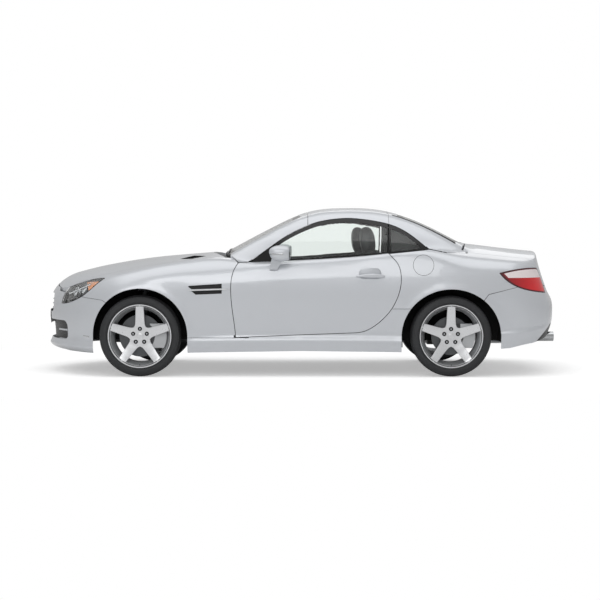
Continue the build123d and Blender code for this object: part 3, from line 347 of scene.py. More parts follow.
alloy = moulded("silver_sprayed_aluminium", "EBECEE", 0.30, 0.0009, 0.00002, metallic=0.55, coat=0.5)
barrel_alloy = moulded("silver_wheel_barrel", "D2D4D6", 0.36, 0.0012, 0.00003, metallic=0.6)
bolt_steel = moulded("blackened_bolt_steel", "101113", 0.4, 0.0012, 0.00004, metallic=0.5)
bolt_tip = moulded("bright_zinc_plated_steel", "C9CBCE", 0.28, 0.0012, 0.00002, metallic=0.9)

sector = bmesh.new()
bmesh.ops.create_grid(sector, x_segments=STAR_COLUMNS, y_segments=STAR_ROWS, size=1)
root = WEB_R * math.cos(SPOKE_STEP / 2)
for vert in sector.verts:
    across, along = vert.co.x, (vert.co.y + 1) / 2
    r = HOLE_R + (STAR_R - HOLE_R) * along ** 0.85
    wedge = r * math.tan(SPOKE_STEP / 2)
    arm = 0.0375 - 0.0075 * (r - root) / 0.17
    flare = 0.0118 * math.exp(-(max(r, root) - root) / 0.0105)
    x = across * (wedge if r <= root else min(wedge, arm + flare))
    crown = 0.0022 * (1 - across ** 2) * min(1, max(0, (r - 0.06) / 0.05))
    vert.co = (x, -(height_at(math.hypot(r, x)) + crown), r)
star = bmesh.new()
for turn in range(SPOKES):
    spoke = sector.copy()
    bmesh.ops.rotate(spoke, cent=(0, 0, 0), matrix=Matrix.Rotation(turn * SPOKE_STEP, 3, "Y"), verts=spoke.verts)
    gather(star, spoke)
sector.free()
bmesh.ops.remove_doubles(star, verts=star.verts, dist=2e-4)
outward(star)
if sum(f.normal.y for f in star.faces) > 0:
    bmesh.ops.reverse_faces(star, faces=star.faces)
grown = bmesh.ops.extrude_face_region(star, geom=star.faces[:])
for vert in grown["geom"]:         # the spokes are deeper at the hub and draw in towards their backs
    if isinstance(vert, bmesh.types.BMVert):
        reach = math.hypot(vert.co.x, vert.co.z)
        vert.co.y += SPOKE_DEPTH if reach < 0.09 else SPOKE_DEPTH - 0.010 * (reach - 0.09) / 0.15
outward(star)
star_mesh = bpy.data.meshes.new("five_spoke_star")
star.to_mesh(star_mesh)
star.free()

for end, hand, side, hub in WHEELS:
    body = f"{end}_wheel_{hand}"
    bm = bmesh.new()
    bm.from_mesh(star_mesh)
    spokes = piece(f"{end}_spokes_{hand}", placed(bm, side, hub), alloy, body, sharp=55)
    soften = spokes.modifiers.new("cast_edges", "BEVEL")
    soften.width, soften.segments, soften.limit_method, soften.angle_limit = 0.0045, 4, "ANGLE", math.radians(50)
    bm = turned([(0.2470, -0.1065), (0.2495, -0.1040), (0.2490, -0.1005), (0.2340, -0.0975), (0.2325, -0.0700),
                 (0.2140, -0.0450), (0.2130, 0.0250), (0.2320, 0.0480), (0.2335, 0.0970), (0.2490, 0.1000),
                 (0.2495, 0.1040), (0.2470, 0.1068), (0.2400, 0.1066), (0.2380, 0.1000), (0.2290, 0.0930),
                 (0.2255, 0.0560), (0.2060, 0.0300), (0.2050, -0.0500), (0.2200, -0.0760), (0.2230, -0.1020),
                 (0.2300, -0.1060)])
    for face in bm.faces:
        middle = face.calc_center_median()
        face.material_index = 1 if math.hypot(middle.x, middle.z) < 0.2295 else 0
    piece(f"{end}_rim_barrel_{hand}", placed(bm, side, hub), [alloy, barrel_alloy], body, sharp=48)
    cap = turned([(0.0, 0.0725), (0.012, 0.0722), (0.0205, 0.0712), (0.0222, 0.0700), (0.0226, 0.0690),
                  (0.0236, 0.0690), (0.0244, 0.0708), (0.0262, 0.0712), (0.0280, 0.0700), (0.0285, 0.0660),
                  (0.0285, 0.0560), (0.0, 0.0560)], closed=False, steps=48)
    for turn in range(SPOKES):
        a = math.radians(90) + turn * SPOKE_STEP
        seat = turned([(0.0160, 0.0692), (0.0165, 0.0705), (0.0150, 0.0708), (0.0125, 0.0696), (0.0118, 0.0692)],
                      closed=False, steps=24)
        bolt = turned([(0.0118, 0.0692), (0.0108, 0.0695), (0.0098, 0.0722), (0.0062, 0.0732), (0.0058, 0.0726),
                       (0.0, 0.0726)], closed=False, steps=24)
        for part in (seat, bolt):
            for face in part.faces:
                inner = face.calc_center_median()
                face.material_index = 2 if math.hypot(inner.x, inner.z) < 0.0062 else 1
            middle = Vector((math.cos(a), 0, math.sin(a))) * BOLT_CIRCLE_R
            bmesh.ops.translate(part, vec=middle, verts=part.verts)
            gather(cap, part)
    piece(f"{end}_hub_cap_and_bolts_{hand}", placed(cap, side, hub), [alloy, bolt_steel, bolt_tip], body)
    valve = turned([(0.0, 0.010), (0.0022, 0.010), (0.0030, 0.006), (0.0030, -0.016), (0.0045, -0.020)],
                   closed=False, steps=16)
    bmesh.ops.rotate(valve, cent=(0, 0, 0), matrix=Matrix.Rotation(math.radians(-25), 3, "X"), verts=valve.verts)
    bmesh.ops.translate(valve, vec=(0, -0.094, -0.2255), verts=valve.verts)
    piece(f"{end}_valve_{hand}", placed(valve, side, hub), bolt_steel, body)
    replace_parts(spokes, f"{end}_rim_{hand}")

# ------------------------------------------------------------ windows
# Curved safety glass with a faint green tint. A black ceramic band is fired on round each pane to
# hide the bonded edge; the side panes carry theirs widest along the roof.


def pane(name, edges):
    """Tinted glass, black where one of edges(material, x, y, z) is 1; y is counted from the middle of the car."""
    material = blank(name)
    place = add(material, "TexCoord").outputs["Object"]
    parts = add(material, "SeparateXYZ", {"Vector": place})
    y = add(material, "Math", {0: parts.outputs["Y"]}, operation="ABSOLUTE")
    band = 0.0
    for operation, *values in edges(material, parts.outputs["X"], y, parts.outputs["Z"]):
        edge = add(material, "Math", dict(enumerate(values)), operation=operation)
        band = add(material, "Math", {0: band, 1: edge}, operation="MAXIMUM")
    mist = add(material, "TexNoise", {"Vector": place, "Scale": 60.0, "Detail": 3.0})
    smear = add(material, "MapRange", {"Value": mist.outputs["Fac"], "To Min": 0.0, "To Max": 0.02})
    glass = add(material, "BsdfPrincipled", {"Base Color": colour("F4F8F6"), "Roughness": smear,
                                             "Transmission Weight": 1.0, "IOR": 1.45})
    ceramic = add(material, "BsdfPrincipled", {"Base Color": colour("08090A"), "Roughness": 0.12})
    mixed = add(material, "MixShader", {0: band, 1: glass, 2: ceramic})
    add(material, "OutputMaterial", {"Surface": mixed})
    return material


CURVE_FOOT = 0.88         # the heights that a curve's 0 and 1 stand for
CURVE_HEIGHT = 0.36


def curved(material, x, points):
    """The height of a smooth line through (x, z) points, as a Float Curve node."""
    low, high = points[0][0], points[-1][0]
    scaled = add(material, "MapRange", {"Value": x, "From Min": low, "From Max": high})
    node = add(material, "FloatCurve", {"Value": scaled})
    knots = node.mapping.curves[0].points
    for k, (at, z) in enumerate(points):
        spot = ((at - low) / (high - low), (z - CURVE_FOOT) / CURVE_HEIGHT)
        if 0 < k < len(points) - 1:
            knots.new(*spot)
        else:
            knots[0 if k == 0 else len(knots) - 1].location = spot
    node.mapping.update()
    return add(material, "Math", {0: node, 1: CURVE_HEIGHT, 2: CURVE_FOOT}, operation="MULTIPLY_ADD")


ARC = ((-0.418, 0.888), (-0.310, 0.955), (-0.206, 1.031), (-0.090, 1.107), (0.026, 1.165), (0.120, 1.202),
       (0.261, 1.230), (0.379, 1.238), (0.495, 1.230), (0.613, 1.212), (0.713, 1.188), (0.789, 1.158),
       (0.900, 1.087), (0.978, 1.023), (1.012, 0.993))
BELT = ((-0.418, 0.888), (-0.2, 0.900), (0.026, 0.908), (0.35, 0.933), (0.673, 0.958), (1.012, 0.993))
POST_X = 0.701            # middle of the post between the door's pane and the quarter's
POST_HALF = 0.016


def side_edges(material, x, y, z):
    """Under the roof's arc, over the belt, on the post, in the mirror's corner and at the tail."""
    top = add(material, "Math", {0: curved(material, x, ARC), 1: 0.034}, operation="SUBTRACT")
    foot = add(material, "Math", {0: curved(material, x, BELT), 1: 0.012}, operation="ADD")
    return [("GREATER_THAN", z, top), ("LESS_THAN", z, foot), ("COMPARE", x, POST_X, POST_HALF),
            ("LESS_THAN", x, -0.215), ("GREATER_THAN", x, 0.945)]


def screen_edges(material, x, y, z):
    """Round the windscreen, with the darker sensor patch behind the mirror."""
    side = add(material, "Math", {0: x, 1: -0.1733, 2: 0.489}, operation="MULTIPLY_ADD")
    bow = add(material, "Math", {0: y, 1: y}, operation="MULTIPLY")
    foot = add(material, "Math", {0: bow, 1: 0.142, 2: -0.565}, operation="MULTIPLY_ADD")
    middle = add(material, "Math", {0: y, 1: 0.13}, operation="LESS_THAN")
    upper = add(material, "Math", {0: x, 1: -0.185}, operation="GREATER_THAN")
    return [("GREATER_THAN", y, side), ("GREATER_THAN", x, -0.058), ("LESS_THAN", x, foot),
            ("MULTIPLY", middle, upper)]


def back_edges(material, x, y, z):
    """Round the rear window."""
    side = add(material, "Math", {0: x, 1: 0.0789, 2: 0.4088}, operation="MULTIPLY_ADD")
    bow = add(material, "Math", {0: y, 1: y}, operation="MULTIPLY")
    foot = add(material, "Math", {0: bow, 1: -0.29, 2: 1.275}, operation="MULTIPLY_ADD")
    return [("GREATER_THAN", y, side), ("LESS_THAN", x, 0.835), ("GREATER_THAN", x, foot)]


dress(pane("side_glass", side_edges), "door_window_left", "door_window_right", "quarter_windows")
dress(pane("windscreen_glass", screen_edges), "windscreen")
dress(pane("rear_glass", back_edges), "rear_window")

# ------------------------------------------------------------ front fenders
# Pressed steel fenders with the body's paint. Behind each wheel a two-storey vent is let into the
# fender: moulded black pockets with a bright fin across them that runs on along the panel.


def copied(name):
    """A CAD node's mesh with its loose triangles merged."""
    bm = bmesh.new()
    bm.from_mesh(frame["nodes"][name].data)
    bmesh.ops.remove_doubles(bm, verts=bm.verts, dist=2e-5)
    return bm


def skin_of(name):
    """A search tree over a CAD node's faces, for laying things on them."""
    bm = bmesh.new()
    bm.from_mesh(frame["nodes"][name].data)
    tree = BVHTree.FromBMesh(bm)
    bm.free()
    return tree


def with_rims(faces):
    """Faces with their edges and corners, as bmesh operators want them."""
    return faces + list({e for f in faces for e in f.edges}) + list({v for f in faces for v in f.verts})


PANEL_REACH = 1.2         # longer than any triangle of a panel
FACING = 0.3              # least turn of a face towards the pocket
JUMP = 0.03               # a strip bridges steps in the skin deeper than this


def pocket(bm, outline, way, depth):
    """Sinks the skin inside a convex outline by depth along way, and opens the skin behind it.

    The sunk floor and its walls take material 1."""
    way = Vector(way).normalized()
    points = [Vector(p) for p in outline]
    middle = sum(points, Vector()) / len(points)
    sides = []
    for a, b in zip(points, points[1:] + points[:1]):
        across = (b - a).cross(way).normalized()
        sides.append((a, across if (middle - a).dot(across) < 0 else -across))

    def close_by():
        bm.normal_update()
        return [f for f in bm.faces
                if abs(f.normal.dot(way)) > FACING and (f.calc_center_median() - middle).length < PANEL_REACH]

    for a, across in sides:
        bmesh.ops.bisect_plane(bm, geom=with_rims(close_by()), plane_co=a, plane_no=across, dist=1e-6)
    inside = [f for f in close_by() if all((f.calc_center_median() - a).dot(across) < 0 for a, across in sides)]
    outer = [f for f in inside if f.normal.dot(way) < 0]
    bmesh.ops.delete(bm, geom=[f for f in inside if f.normal.dot(way) > 0], context="FACES")
    made = bmesh.ops.extrude_face_region(bm, geom=with_rims(outer))      # with rims, so that the old skin goes
    sunk = {v for v in made["geom"] if isinstance(v, bmesh.types.BMVert)}
    bmesh.ops.translate(bm, vec=way * depth, verts=list(sunk))
    for face in {f for v in sunk for f in v.link_faces}:
        face.material_index = 1


def strips(bm, rows):
    """Joins each row of corners to the next with faces."""
    for near, far in zip(rows, rows[1:]):
        for k in range(len(near) - 1):
            bm.faces.new((near[k], near[k + 1], far[k + 1], far[k]))


def line(start, end, steps):
    """Points at even distances from start to end."""
    return [Vector(start).lerp(Vector(end), i / steps) for i in range(steps + 1)]


def laid(tree, path, way, up, width, lift, ends=None):
    """A crowned strip laid on a skin: its middle line is path cast along way, and ends shapes its width."""
    bm = bmesh.new()
    way, up, rows, last = Vector(way).normalized(), Vector(up), [], None
    for count, point in enumerate(path):
        share = ends(count / (len(path) - 1)) if ends else 1.0
        row = []
        for across in (-1, -0.5, 0, 0.5, 1):
            start = Vector(point) + up * (width / 2 * share * across)
            hit = tree.ray_cast(start, way)[0]
            if last is not None and (hit is None or abs((hit - last).dot(way)) > JUMP):
                hit = start + way * (last - start).dot(way)
            if hit is not None:      # rays ahead of the skin's edge are left out
                last = hit
                row.append(bm.verts.new(hit - way * lift * (1 - 0.6 * across * across)))
        if len(row) == 5:
            rows.append(row)
    strips(bm, rows)
    return outward(bm)


def thicken(made, thickness, offset=-1):
    """Gives a sheet its thickness, by default on its inner side."""
    wall = made.modifiers.new("wall", "SOLIDIFY")
    wall.thickness, wall.offset = thickness, offset


VENT_X = -0.609           # rear end of both vents
VENT_DEPTH = 0.022
UPPER_VENT = ((-0.872, 0.704), (-0.845, 0.684), (VENT_X, 0.691), (VENT_X, 0.727), (-0.862, 0.711))
LOWER_VENT = ((-0.846, 0.670), (-0.812, 0.642), (VENT_X, 0.650), (VENT_X, 0.678))
FIN_X, FIN_Z = -0.868, 0.6755
FIN_LONG, FIN_RISE = 0.318, 0.0095
black_mould = moulded("black_moulded_plastic", "101113", 0.42, 0.0011, 0.00006)
for hand, side in HANDS:
    inward = (0, -side, 0)
    bm = copied(f"front_fender_{hand}")
    for vent in (UPPER_VENT, LOWER_VENT):
        pocket(bm, [(x, 0.9 * side, z) for x, z in vent], inward, VENT_DEPTH)
    fender = piece(f"front_fender_panel_{hand}", outward(bm), [silver, black_mould], "chassis", sharp=35)
    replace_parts(fender, f"front_fender_{hand}")
    path = line((FIN_X, side * 1.5, FIN_Z), (FIN_X + FIN_LONG, side * 1.5, FIN_Z + FIN_RISE), 40)
    bm = laid(skin_of(f"front_fender_{hand}"), path, inward, (0, 0, 1), 0.0115, 0.007,
              ends=lambda t: min(1.0, 0.2 + t / 0.12, 0.15 + (1 - t) / 0.15))
    thicken(piece(f"vent_fin_{hand}", bm, alloy, "chassis"), 0.004)

# ------------------------------------------------------------ bonnet
# One aluminium pressing, painted with the body and carried by two goosenecks at its rear edge. Two slim
# black moulded air slots are clipped into its rear corners.
bm = copied("bonnet")
skin = skin_of("bonnet")


def out_to(x, z):
    """How far out from the middle the bonnet's skin has come down to height z."""
    y = 0.30
    while y < 0.70 and skin.ray_cast(Vector((x, y, 2)), Vector((0, 0, -1)))[0].z > z:
        y += 0.002
    return y


SLOT = ((-0.953, 0.915), (-0.850, 0.940), (-0.746, 0.938), (-0.850, 0.917))      # x and height of its corners
SLOT_DEPTH = 0.014
slot = [(x, out_to(x, z)) for x, z in SLOT]
for side in (-1, 1):
    pocket(bm, [(x, side * y, 0.95) for x, y in slot], (0, 0, -1), SLOT_DEPTH)
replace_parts(piece("bonnet_panel", outward(bm), [silver, black_mould], "bonnet", sharp=35), "bonnet")

# ------------------------------------------------------------ headlamps
# A clear polycarbonate lens over a black and bright-metallised housing: two projector lenses with
# chrome rings and an amber side reflector. The unit is screwed in from behind.
clear = blank("clear_polycarbonate")      # hard-coated, with only its gloss to be seen
place = add(clear, "TexCoord").outputs["Object"]
mist = add(clear, "TexNoise", {"Vector": place, "Scale": 120.0})
haze = add(clear, "MapRange", {"Value": mist.outputs["Fac"], "To Min": 0.0, "To Max": 0.03})
lens = add(clear, "BsdfPrincipled", {"Base Color": colour("FAFBFB"), "Roughness": haze,
                                     "Transmission Weight": 1.0, "IOR": 1.3})
add(clear, "OutputMaterial", {"Surface": lens})
bezel = moulded("gloss_black_bezel", "141517", 0.16, 0.002, 0.00003, coat=0.6)
bright = moulded("metallised_reflector", "D4D6D8", 0.14, 0.004, 0.0004, metallic=1.0)
amber = moulded("amber_reflector", "E58A45", 0.22, 0.006, 0.0010, coat=0.8)


def met(tree, side, x, z):
    """Where a level ray from the car's side meets a skin."""
    return tree.ray_cast(Vector((x, side * 1.5, z)), Vector((0, -side, 0)))[0]


def lamp_skin(name, centre_x, outer=True):
    """A lamp's outer faces, or all its other ones."""
    bm = copied(name)
    bm.normal_update()
    lost = []
    for face in bm.faces:
        middle = face.calc_center_median()
        out = Vector((middle.x - centre_x, middle.y, 0)).normalized()
        if (face.normal.dot(out) > 0.35) != outer:
            lost.append(face)
    bmesh.ops.delete(bm, geom=lost, context="FACES")
    return bm


def cut(bm, co, no, **settings):
    """Cuts all of a bmesh along a plane."""
    bmesh.ops.bisect_plane(bm, geom=bm.faces[:] + bm.edges[:] + bm.verts[:], plane_co=co, plane_no=no, **settings)


def sink(bm, depth):
    """Moves a skin inwards along its own normals."""
    for vert, normal in [(v, v.normal.copy()) for v in bm.verts]:
        vert.co -= normal * depth


def ball_lens(radius, ring, place, way):
    """A projector lens in its ring, facing way."""
    bm = turned([(0.0, 0.45 * radius), (0.3 * radius, 0.42 * radius), (0.6 * radius, 0.32 * radius),
                 (0.85 * radius, 0.14 * radius), (radius, 0), (radius, -0.004), (radius + 0.2 * ring, 0.006),
                 (radius + 0.6 * ring, 0.008), (radius + ring, 0.004), (radius + ring, -0.030), (0, -0.030)],
                closed=False, steps=40)
    facing = Vector((0, -1, 0)).rotation_difference(way).to_matrix()
    bmesh.ops.rotate(bm, cent=(0, 0, 0), matrix=facing, verts=bm.verts)
    bmesh.ops.translate(bm, vec=place, verts=bm.verts)
    return bm


LAMP_MIDDLE_X = -1.4      # the headlamps' skins face away from here
PROJECTORS = ((-1.712, 0.700, 0.034), (-1.790, 0.672, 0.030))      # x, z, radius
PROJECTOR_RING = 0.009
PROJECTOR_DEPTH = 0.030
VANE_FRONT, VANE_LONG = -1.84, 0.19
for hand, side in HANDS:
    shell = lamp_skin(f"headlamp_{hand}", LAMP_MIDDLE_X)
    strip = lamp_skin(f"headlamp_{hand}", LAMP_MIDDLE_X)
    cut(strip, (-1.672, 0, 0.70), (1, 0, 0.35), clear_inner=True)
    cut(strip, (-1.60, 0, 0.747), (-0.08, 0, 1), clear_outer=True)
    strip.normal_update()
    sink(strip, 0.010)
    piece(f"headlamp_side_marker_{hand}", strip, amber, "chassis")
    bowl = lamp_skin(f"headlamp_{hand}", LAMP_MIDDLE_X, outer=False)
    sink(bowl, 0.0004)
    piece(f"headlamp_housing_{hand}", bowl, bezel, "chassis")
    tree = BVHTree.FromBMesh(shell)
    outboard = Vector((0, side, 0))
    for number, (x, z, radius) in enumerate(PROJECTORS):
        hit, normal = tree.ray_cast(Vector((x, side * 1.5, z)), -outboard)[:2]
        if hit is not None:
            out = normal if normal.dot(outboard) > 0 else -normal
            way = (out + Vector((-0.5, 0, 0))).normalized()
            bm = ball_lens(radius, PROJECTOR_RING, hit - out * PROJECTOR_DEPTH, way)
            piece(f"headlamp_projector_{number + 1}_{hand}", bm, bright, "chassis", sharp=30)
    bm = bmesh.new()      # the brow: a bright vane over the projectors
    bmesh.ops.create_grid(bm, x_segments=24, y_segments=2, size=1)
    for vert in bm.verts:
        along = VANE_LONG * (vert.co.x + 1) / 2
        x, z = VANE_FRONT + along, 0.640 + 0.42 * along + 0.007 * vert.co.y
        hit = met(tree, side, x, z)
        depth = 0.016 + 0.006 * vert.co.y
        vert.co = (x, (hit.y if hit is not None else side * 0.7) - side * depth, z)
    thicken(piece(f"headlamp_vane_{hand}", outward(bm), bright, "chassis"), 0.003)
    lens = piece(f"headlamp_lens_{hand}", outward(shell), clear, "chassis")
    thicken(lens, 0.0028)
    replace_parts(lens, f"headlamp_{hand}")

# ------------------------------------------------------------ tail lamps
# Two-shot moulded acrylic: deep red round the edge, bright red below, and a clear reversing and
# indicator band above. Each lens is welded to its housing and held by nuts from the boot.


def acrylic(name, low_code, high_code, striped=False):
    """Coloured acrylic over ribbed optics, with or without the clear stripe."""
    material = blank(name)
    place = add(material, "TexCoord").outputs["Object"]
    parts = add(material, "SeparateXYZ", {"Vector": place})
    x, z = parts.outputs["X"], parts.outputs["Z"]
    ribs = add(material, "TexWave", {"Vector": place, "Scale": 40.0}, bands_direction="Z")
    # the red lightens steadily towards the tail, from x = 1.60 to x = 1.86
    toward_tail = add(material, "MapRange", {"Value": x, "From Min": 1.60, "From Max": 1.86})
    tone = add(material, "Mix", {"Factor": toward_tail, 6: colour(low_code), 7: colour(high_code)}, data_type="RGBA")
    if striped:
        over = add(material, "Math", {0: z, 1: STRIPE_FOOT}, operation="GREATER_THAN")
        rearward = add(material, "Math", {0: z, 1: x}, operation="ADD")
        behind = add(material, "Math", {0: rearward, 1: STRIPE_FRONT}, operation="GREATER_THAN")
        stripe = add(material, "Math", {0: over, 1: behind}, operation="MULTIPLY")
        tone = add(material, "Mix", {"Factor": stripe, 6: tone, 7: colour("F0E4E4")}, data_type="RGBA")
    relief = add(material, "Bump", {"Height": ribs.outputs["Fac"], "Strength": 0.5, "Distance": 0.001})
    body = add(material, "BsdfPrincipled", {"Base Color": tone, "Roughness": 0.4, "Normal": relief,
                                            "Coat Weight": 0.4, "Coat Roughness": 0.03})
    add(material, "OutputMaterial", {"Surface": body})
    return material


TAIL_MIDDLE_X = 1.4       # the tail lamps' skins face away from here
STRIPE_FOOT = 0.772       # height over which the stripe lies
STRIPE_FRONT = 2.395      # x + z at its slanting front edge
LIT_X, LIT_Z = 1.770, 0.755      # the lit part is drawn in towards here
LIT_SHARE = 0.90
edge_red = acrylic("deep_red_acrylic", "4A0C14", "5A0C18")
lit_red = acrylic("bright_red_acrylic", "8A0E18", "E01018", striped=True)
for hand, side in HANDS:
    dress(edge_red, f"tail_lamp_{hand}")
    inner = lamp_skin(f"tail_lamp_{hand}", TAIL_MIDDLE_X)
    low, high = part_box(f"tail_lamp_{hand}")
    middle = Vector((LIT_X, (low[1] + high[1]) / 2, LIT_Z))
    tree = skin_of(f"tail_lamp_{hand}")
    for vert in inner.verts:      # drawn in from the lamp's edge and laid on its skin
        vert.co = middle + (vert.co - middle) * LIT_SHARE
        out = Vector((vert.co.x - TAIL_MIDDLE_X, vert.co.y, 0)).normalized()
        hit = tree.ray_cast(vert.co + out * 0.3, -out)[0]
        if hit is not None:
            vert.co = hit + out * 0.0012
    piece(f"tail_lamp_inner_{hand}", inner, lit_red, "chassis")

# ------------------------------------------------------------ door mirrors
# Two-part moulded housings in body colour on a stalk, with a clear strip for the side repeater, a
# heated convex glass in a black frame, and a foot that is bolted to the door.


def rounded_form(size, place, power=4.0, cuts=10):
    """A soft-edged box: a cube drawn out to a superellipsoid."""
    bm = bmesh.new()
    bmesh.ops.create_cube(bm, size=2)
    bmesh.ops.subdivide_edges(bm, edges=bm.edges[:], cuts=cuts, use_grid_fill=True)
    for vert in bm.verts:
        vert.co /= sum(abs(c) ** power for c in vert.co) ** (1 / power)
        vert.co = Vector(c * across / 2 + at for c, across, at in zip(vert.co, size, place))
    return outward(bm)


MIRROR_X, MIRROR_Y, MIRROR_Z = -0.158, 0.925, 0.963      # middle of the housing
MIRROR_GLASS_X = -0.080
mirror_glass = moulded("silvered_glass", "DDE2E4", 0.03, 0.05, 0.00001, metallic=1.0)
for hand, side in HANDS:
    body = f"door_{hand}"
    bm = rounded_form((0.172, 0.148, 0.124), (MIRROR_X, side * MIRROR_Y, MIRROR_Z), power=2.8, cuts=14)
    for vert in bm.verts:
        up = (vert.co.z - MIRROR_Z) / 0.059
        vert.co.x -= 0.008 * up * (1 if vert.co.x < -0.155 else 0.3) - 0.006
        if vert.co.x < -0.17:
            vert.co.z += 0.010 * up * (vert.co.x + 0.17) / 0.07
        if vert.co.x > MIRROR_GLASS_X:      # the back is flat, for the glass
            vert.co.x = MIRROR_GLASS_X + (vert.co.x - MIRROR_GLASS_X) * 0.15
    for face in bm.faces:
        if face.calc_center_median().x > MIRROR_GLASS_X - 0.004:
            face.material_index = 1
    tree = BVHTree.FromBMesh(bm)
    head = piece(f"door_mirror_shell_{hand}", bm, [silver, black_mould], body, sharp=60)
    bm = rounded_form((0.0065, 0.128, 0.090), (MIRROR_GLASS_X + 0.0025, side * MIRROR_Y, MIRROR_Z), power=3.5, cuts=8)
    piece(f"door_mirror_glass_{hand}", bm, mirror_glass, body, sharp=50)
    bm = bmesh.new()      # repeater: a clear strip wrapped round the housing's front and outer side
    bmesh.ops.create_grid(bm, x_segments=30, y_segments=3, size=1)
    for vert in bm.verts:
        turn = math.radians(8 + 97 * (vert.co.x + 1) / 2)
        out = Vector((-math.cos(turn), side * math.sin(turn), 0))
        start = Vector((-0.150, side * MIRROR_Y, MIRROR_Z - 0.006 + 0.006 * vert.co.y))
        hit = tree.ray_cast(start + out * 0.3, -out)[0]
        vert.co = (hit if hit is not None else start) + out * (0.0013 - 0.001 * abs(vert.co.y))
    piece(f"door_mirror_repeater_{hand}", outward(bm), bright, body)
    bm = bmesh.new()      # stalk and foot
    bmesh.ops.create_cube(bm, size=1)
    bmesh.ops.subdivide_edges(bm, edges=bm.edges[:], cuts=6, use_grid_fill=True)
    for vert in bm.verts:
        t = vert.co.z + 0.5
        x = -0.208 + 0.036 * t + vert.co.x * (0.060 + 0.035 * t)
        y = side * (0.868 + 0.050 * t ** 1.5 + vert.co.y * (0.020 + 0.050 * t))
        vert.co = (x, y, 0.835 + 0.088 * t)
    foot = piece(f"door_mirror_stalk_{hand}", outward(bm), silver, body)
    soft = foot.modifiers.new("round", "BEVEL")
    soft.width, soft.segments = 0.010, 4
    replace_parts(head, f"door_mirror_{hand}")

# ------------------------------------------------------------ grey, black and bare-metal CAD pieces
# Wheel-arch liners and cowl are moulded polypropylene, the platform is primed and sealed steel, the
# running gear cast and painted, the discs machined iron, the exhaust polished stainless steel.
liner = moulded("fibre_arch_liner", "0B0B0C", 0.85, 0.004, 0.0006)
primed = moulded("primed_body_steel", "4A4C4F", 0.6, 0.003, 0.0001)
cast = moulded("cast_running_gear", "6A6C6E", 0.5, 0.0025, 0.0003, metallic=0.5)
machined = moulded("machined_iron_disc", "626466", 0.36, 0.0015, 0.00005, metallic=0.7)
stainless = moulded("polished_stainless_steel", "C9CBCD", 0.12, 0.004, 0.00002, metallic=1.0)
dress(liner, "front_wheel_liners", "rear_wheel_liners")
dress(black_mould, "cowl_panel")
dress(primed, "floor_pan", "firewall", "rear_bulkhead", "front_frame", "rear_frame", "engine")
dress(cast, "front_suspension")
dress(machined, *[f"{end}_brake_disc_{hand}" for end in ("front", "rear") for hand in ("left", "right")])
dress(stainless, "exhaust")

# ------------------------------------------------------------ cabin
# Black leather seats with stitched channels and separate head restraints on steel rods, a plain
# dashboard and console under a moulded soft-touch skin, and a leather-bound steering wheel.
hide = moulded("black_grained_leather", "26272A", 0.48, 0.0028, 0.00025)     # pebble grain 1 mm, drawn coarser
soft_skin = moulded("soft_touch_dash_skin", "1C1D1F", 0.6, 0.0016, 0.00012)
dress(soft_skin, "dashboard", "centre_console")
dress(hide, "steering_wheel")


def cushion(name, size, place, lean, channels, body, power=5.0, crown=0.02):
    """A padded form with sewn channels across its face; lean is how far its top is set back per metre."""
    bm = rounded_form(size, (0, 0, 0), power=power, cuts=22)
    upright = size[2] > size[0]
    for vert in bm.verts:
        x, across, z = (2 * c / wide for c, wide in zip(vert.co, size))
        along, face = (z, -x) if upright else (x, z)
        if face > 0:
            swell = crown * (1 - across ** 2) * (1 - along ** 2)
            swell -= sum(SEAM_DEPTH * math.exp(-((abs(across) - seam) / 0.035) ** 2) for seam in channels)
            if abs(across) > 0.62:      # the side bolsters
                swell += 0.022 * min(1, (abs(across) - 0.62) / 0.2)
            if upright:
                vert.co.x -= swell * face
            else:
                vert.co.z += swell * face
        vert.co.x += lean * vert.co.z
        vert.co += Vector(place)
    made = piece(name, outward(bm), hide, body, sharp=80)
    return made


SEAM_DEPTH = 0.010
CUSHION_SIZE, CUSHION_Z = (0.50, 0.46, 0.13), 0.335
BACKREST_SIZE, BACKREST_Z = (0.125, 0.43, 0.66), 0.655
RESTRAINT_SIZE = (0.125, 0.250, 0.235)
SEAMS = (0.22, 0.60)      # shares of the half width
RESTRAINT_Z = 1.052
ROD_R = 0.0055
for hand, side in HANDS:
    low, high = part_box(f"seat_{hand}")
    middle = (low[1] + high[1]) / 2
    back = high[0]        # rearmost point of the backrest's top
    base = cushion(f"seat_cushion_{hand}", CUSHION_SIZE, (low[0] + 0.255, middle, CUSHION_Z), 0.0, SEAMS, "chassis")
    cushion(f"seat_backrest_{hand}", BACKREST_SIZE, (back - 0.112, middle, BACKREST_Z), 0.155, SEAMS, "chassis")
    reach = 0.545 if side < 0 else 0.500      # the two seats are set a little differently
    cushion(f"head_restraint_{hand}", RESTRAINT_SIZE, (reach, middle, RESTRAINT_Z), -0.10, (0.0,), "chassis",
            power=2.4, crown=0.0)
    rods = bmesh.new()
    for dy in (-0.055, 0.055):
        rod = turned([(0, 0.06), (ROD_R, 0.06), (ROD_R, -0.06), (0, -0.06)], closed=False, steps=16)
        bmesh.ops.rotate(rod, cent=(0, 0, 0), matrix=Matrix.Rotation(math.radians(90), 3, "X"), verts=rod.verts)
        bmesh.ops.translate(rod, vec=(reach + 0.012, middle + dy, 0.945), verts=rod.verts)
        gather(rods, rod)
    piece(f"head_restraint_rods_{hand}", rods, stainless, "chassis")
    bm = rounded_form((0.44, 0.37, 0.07), (low[0] + 0.27, middle, 0.245), power=8, cuts=4)
    piece(f"seat_base_{hand}", bm, soft_skin, "chassis")
    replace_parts(base, f"seat_{hand}")

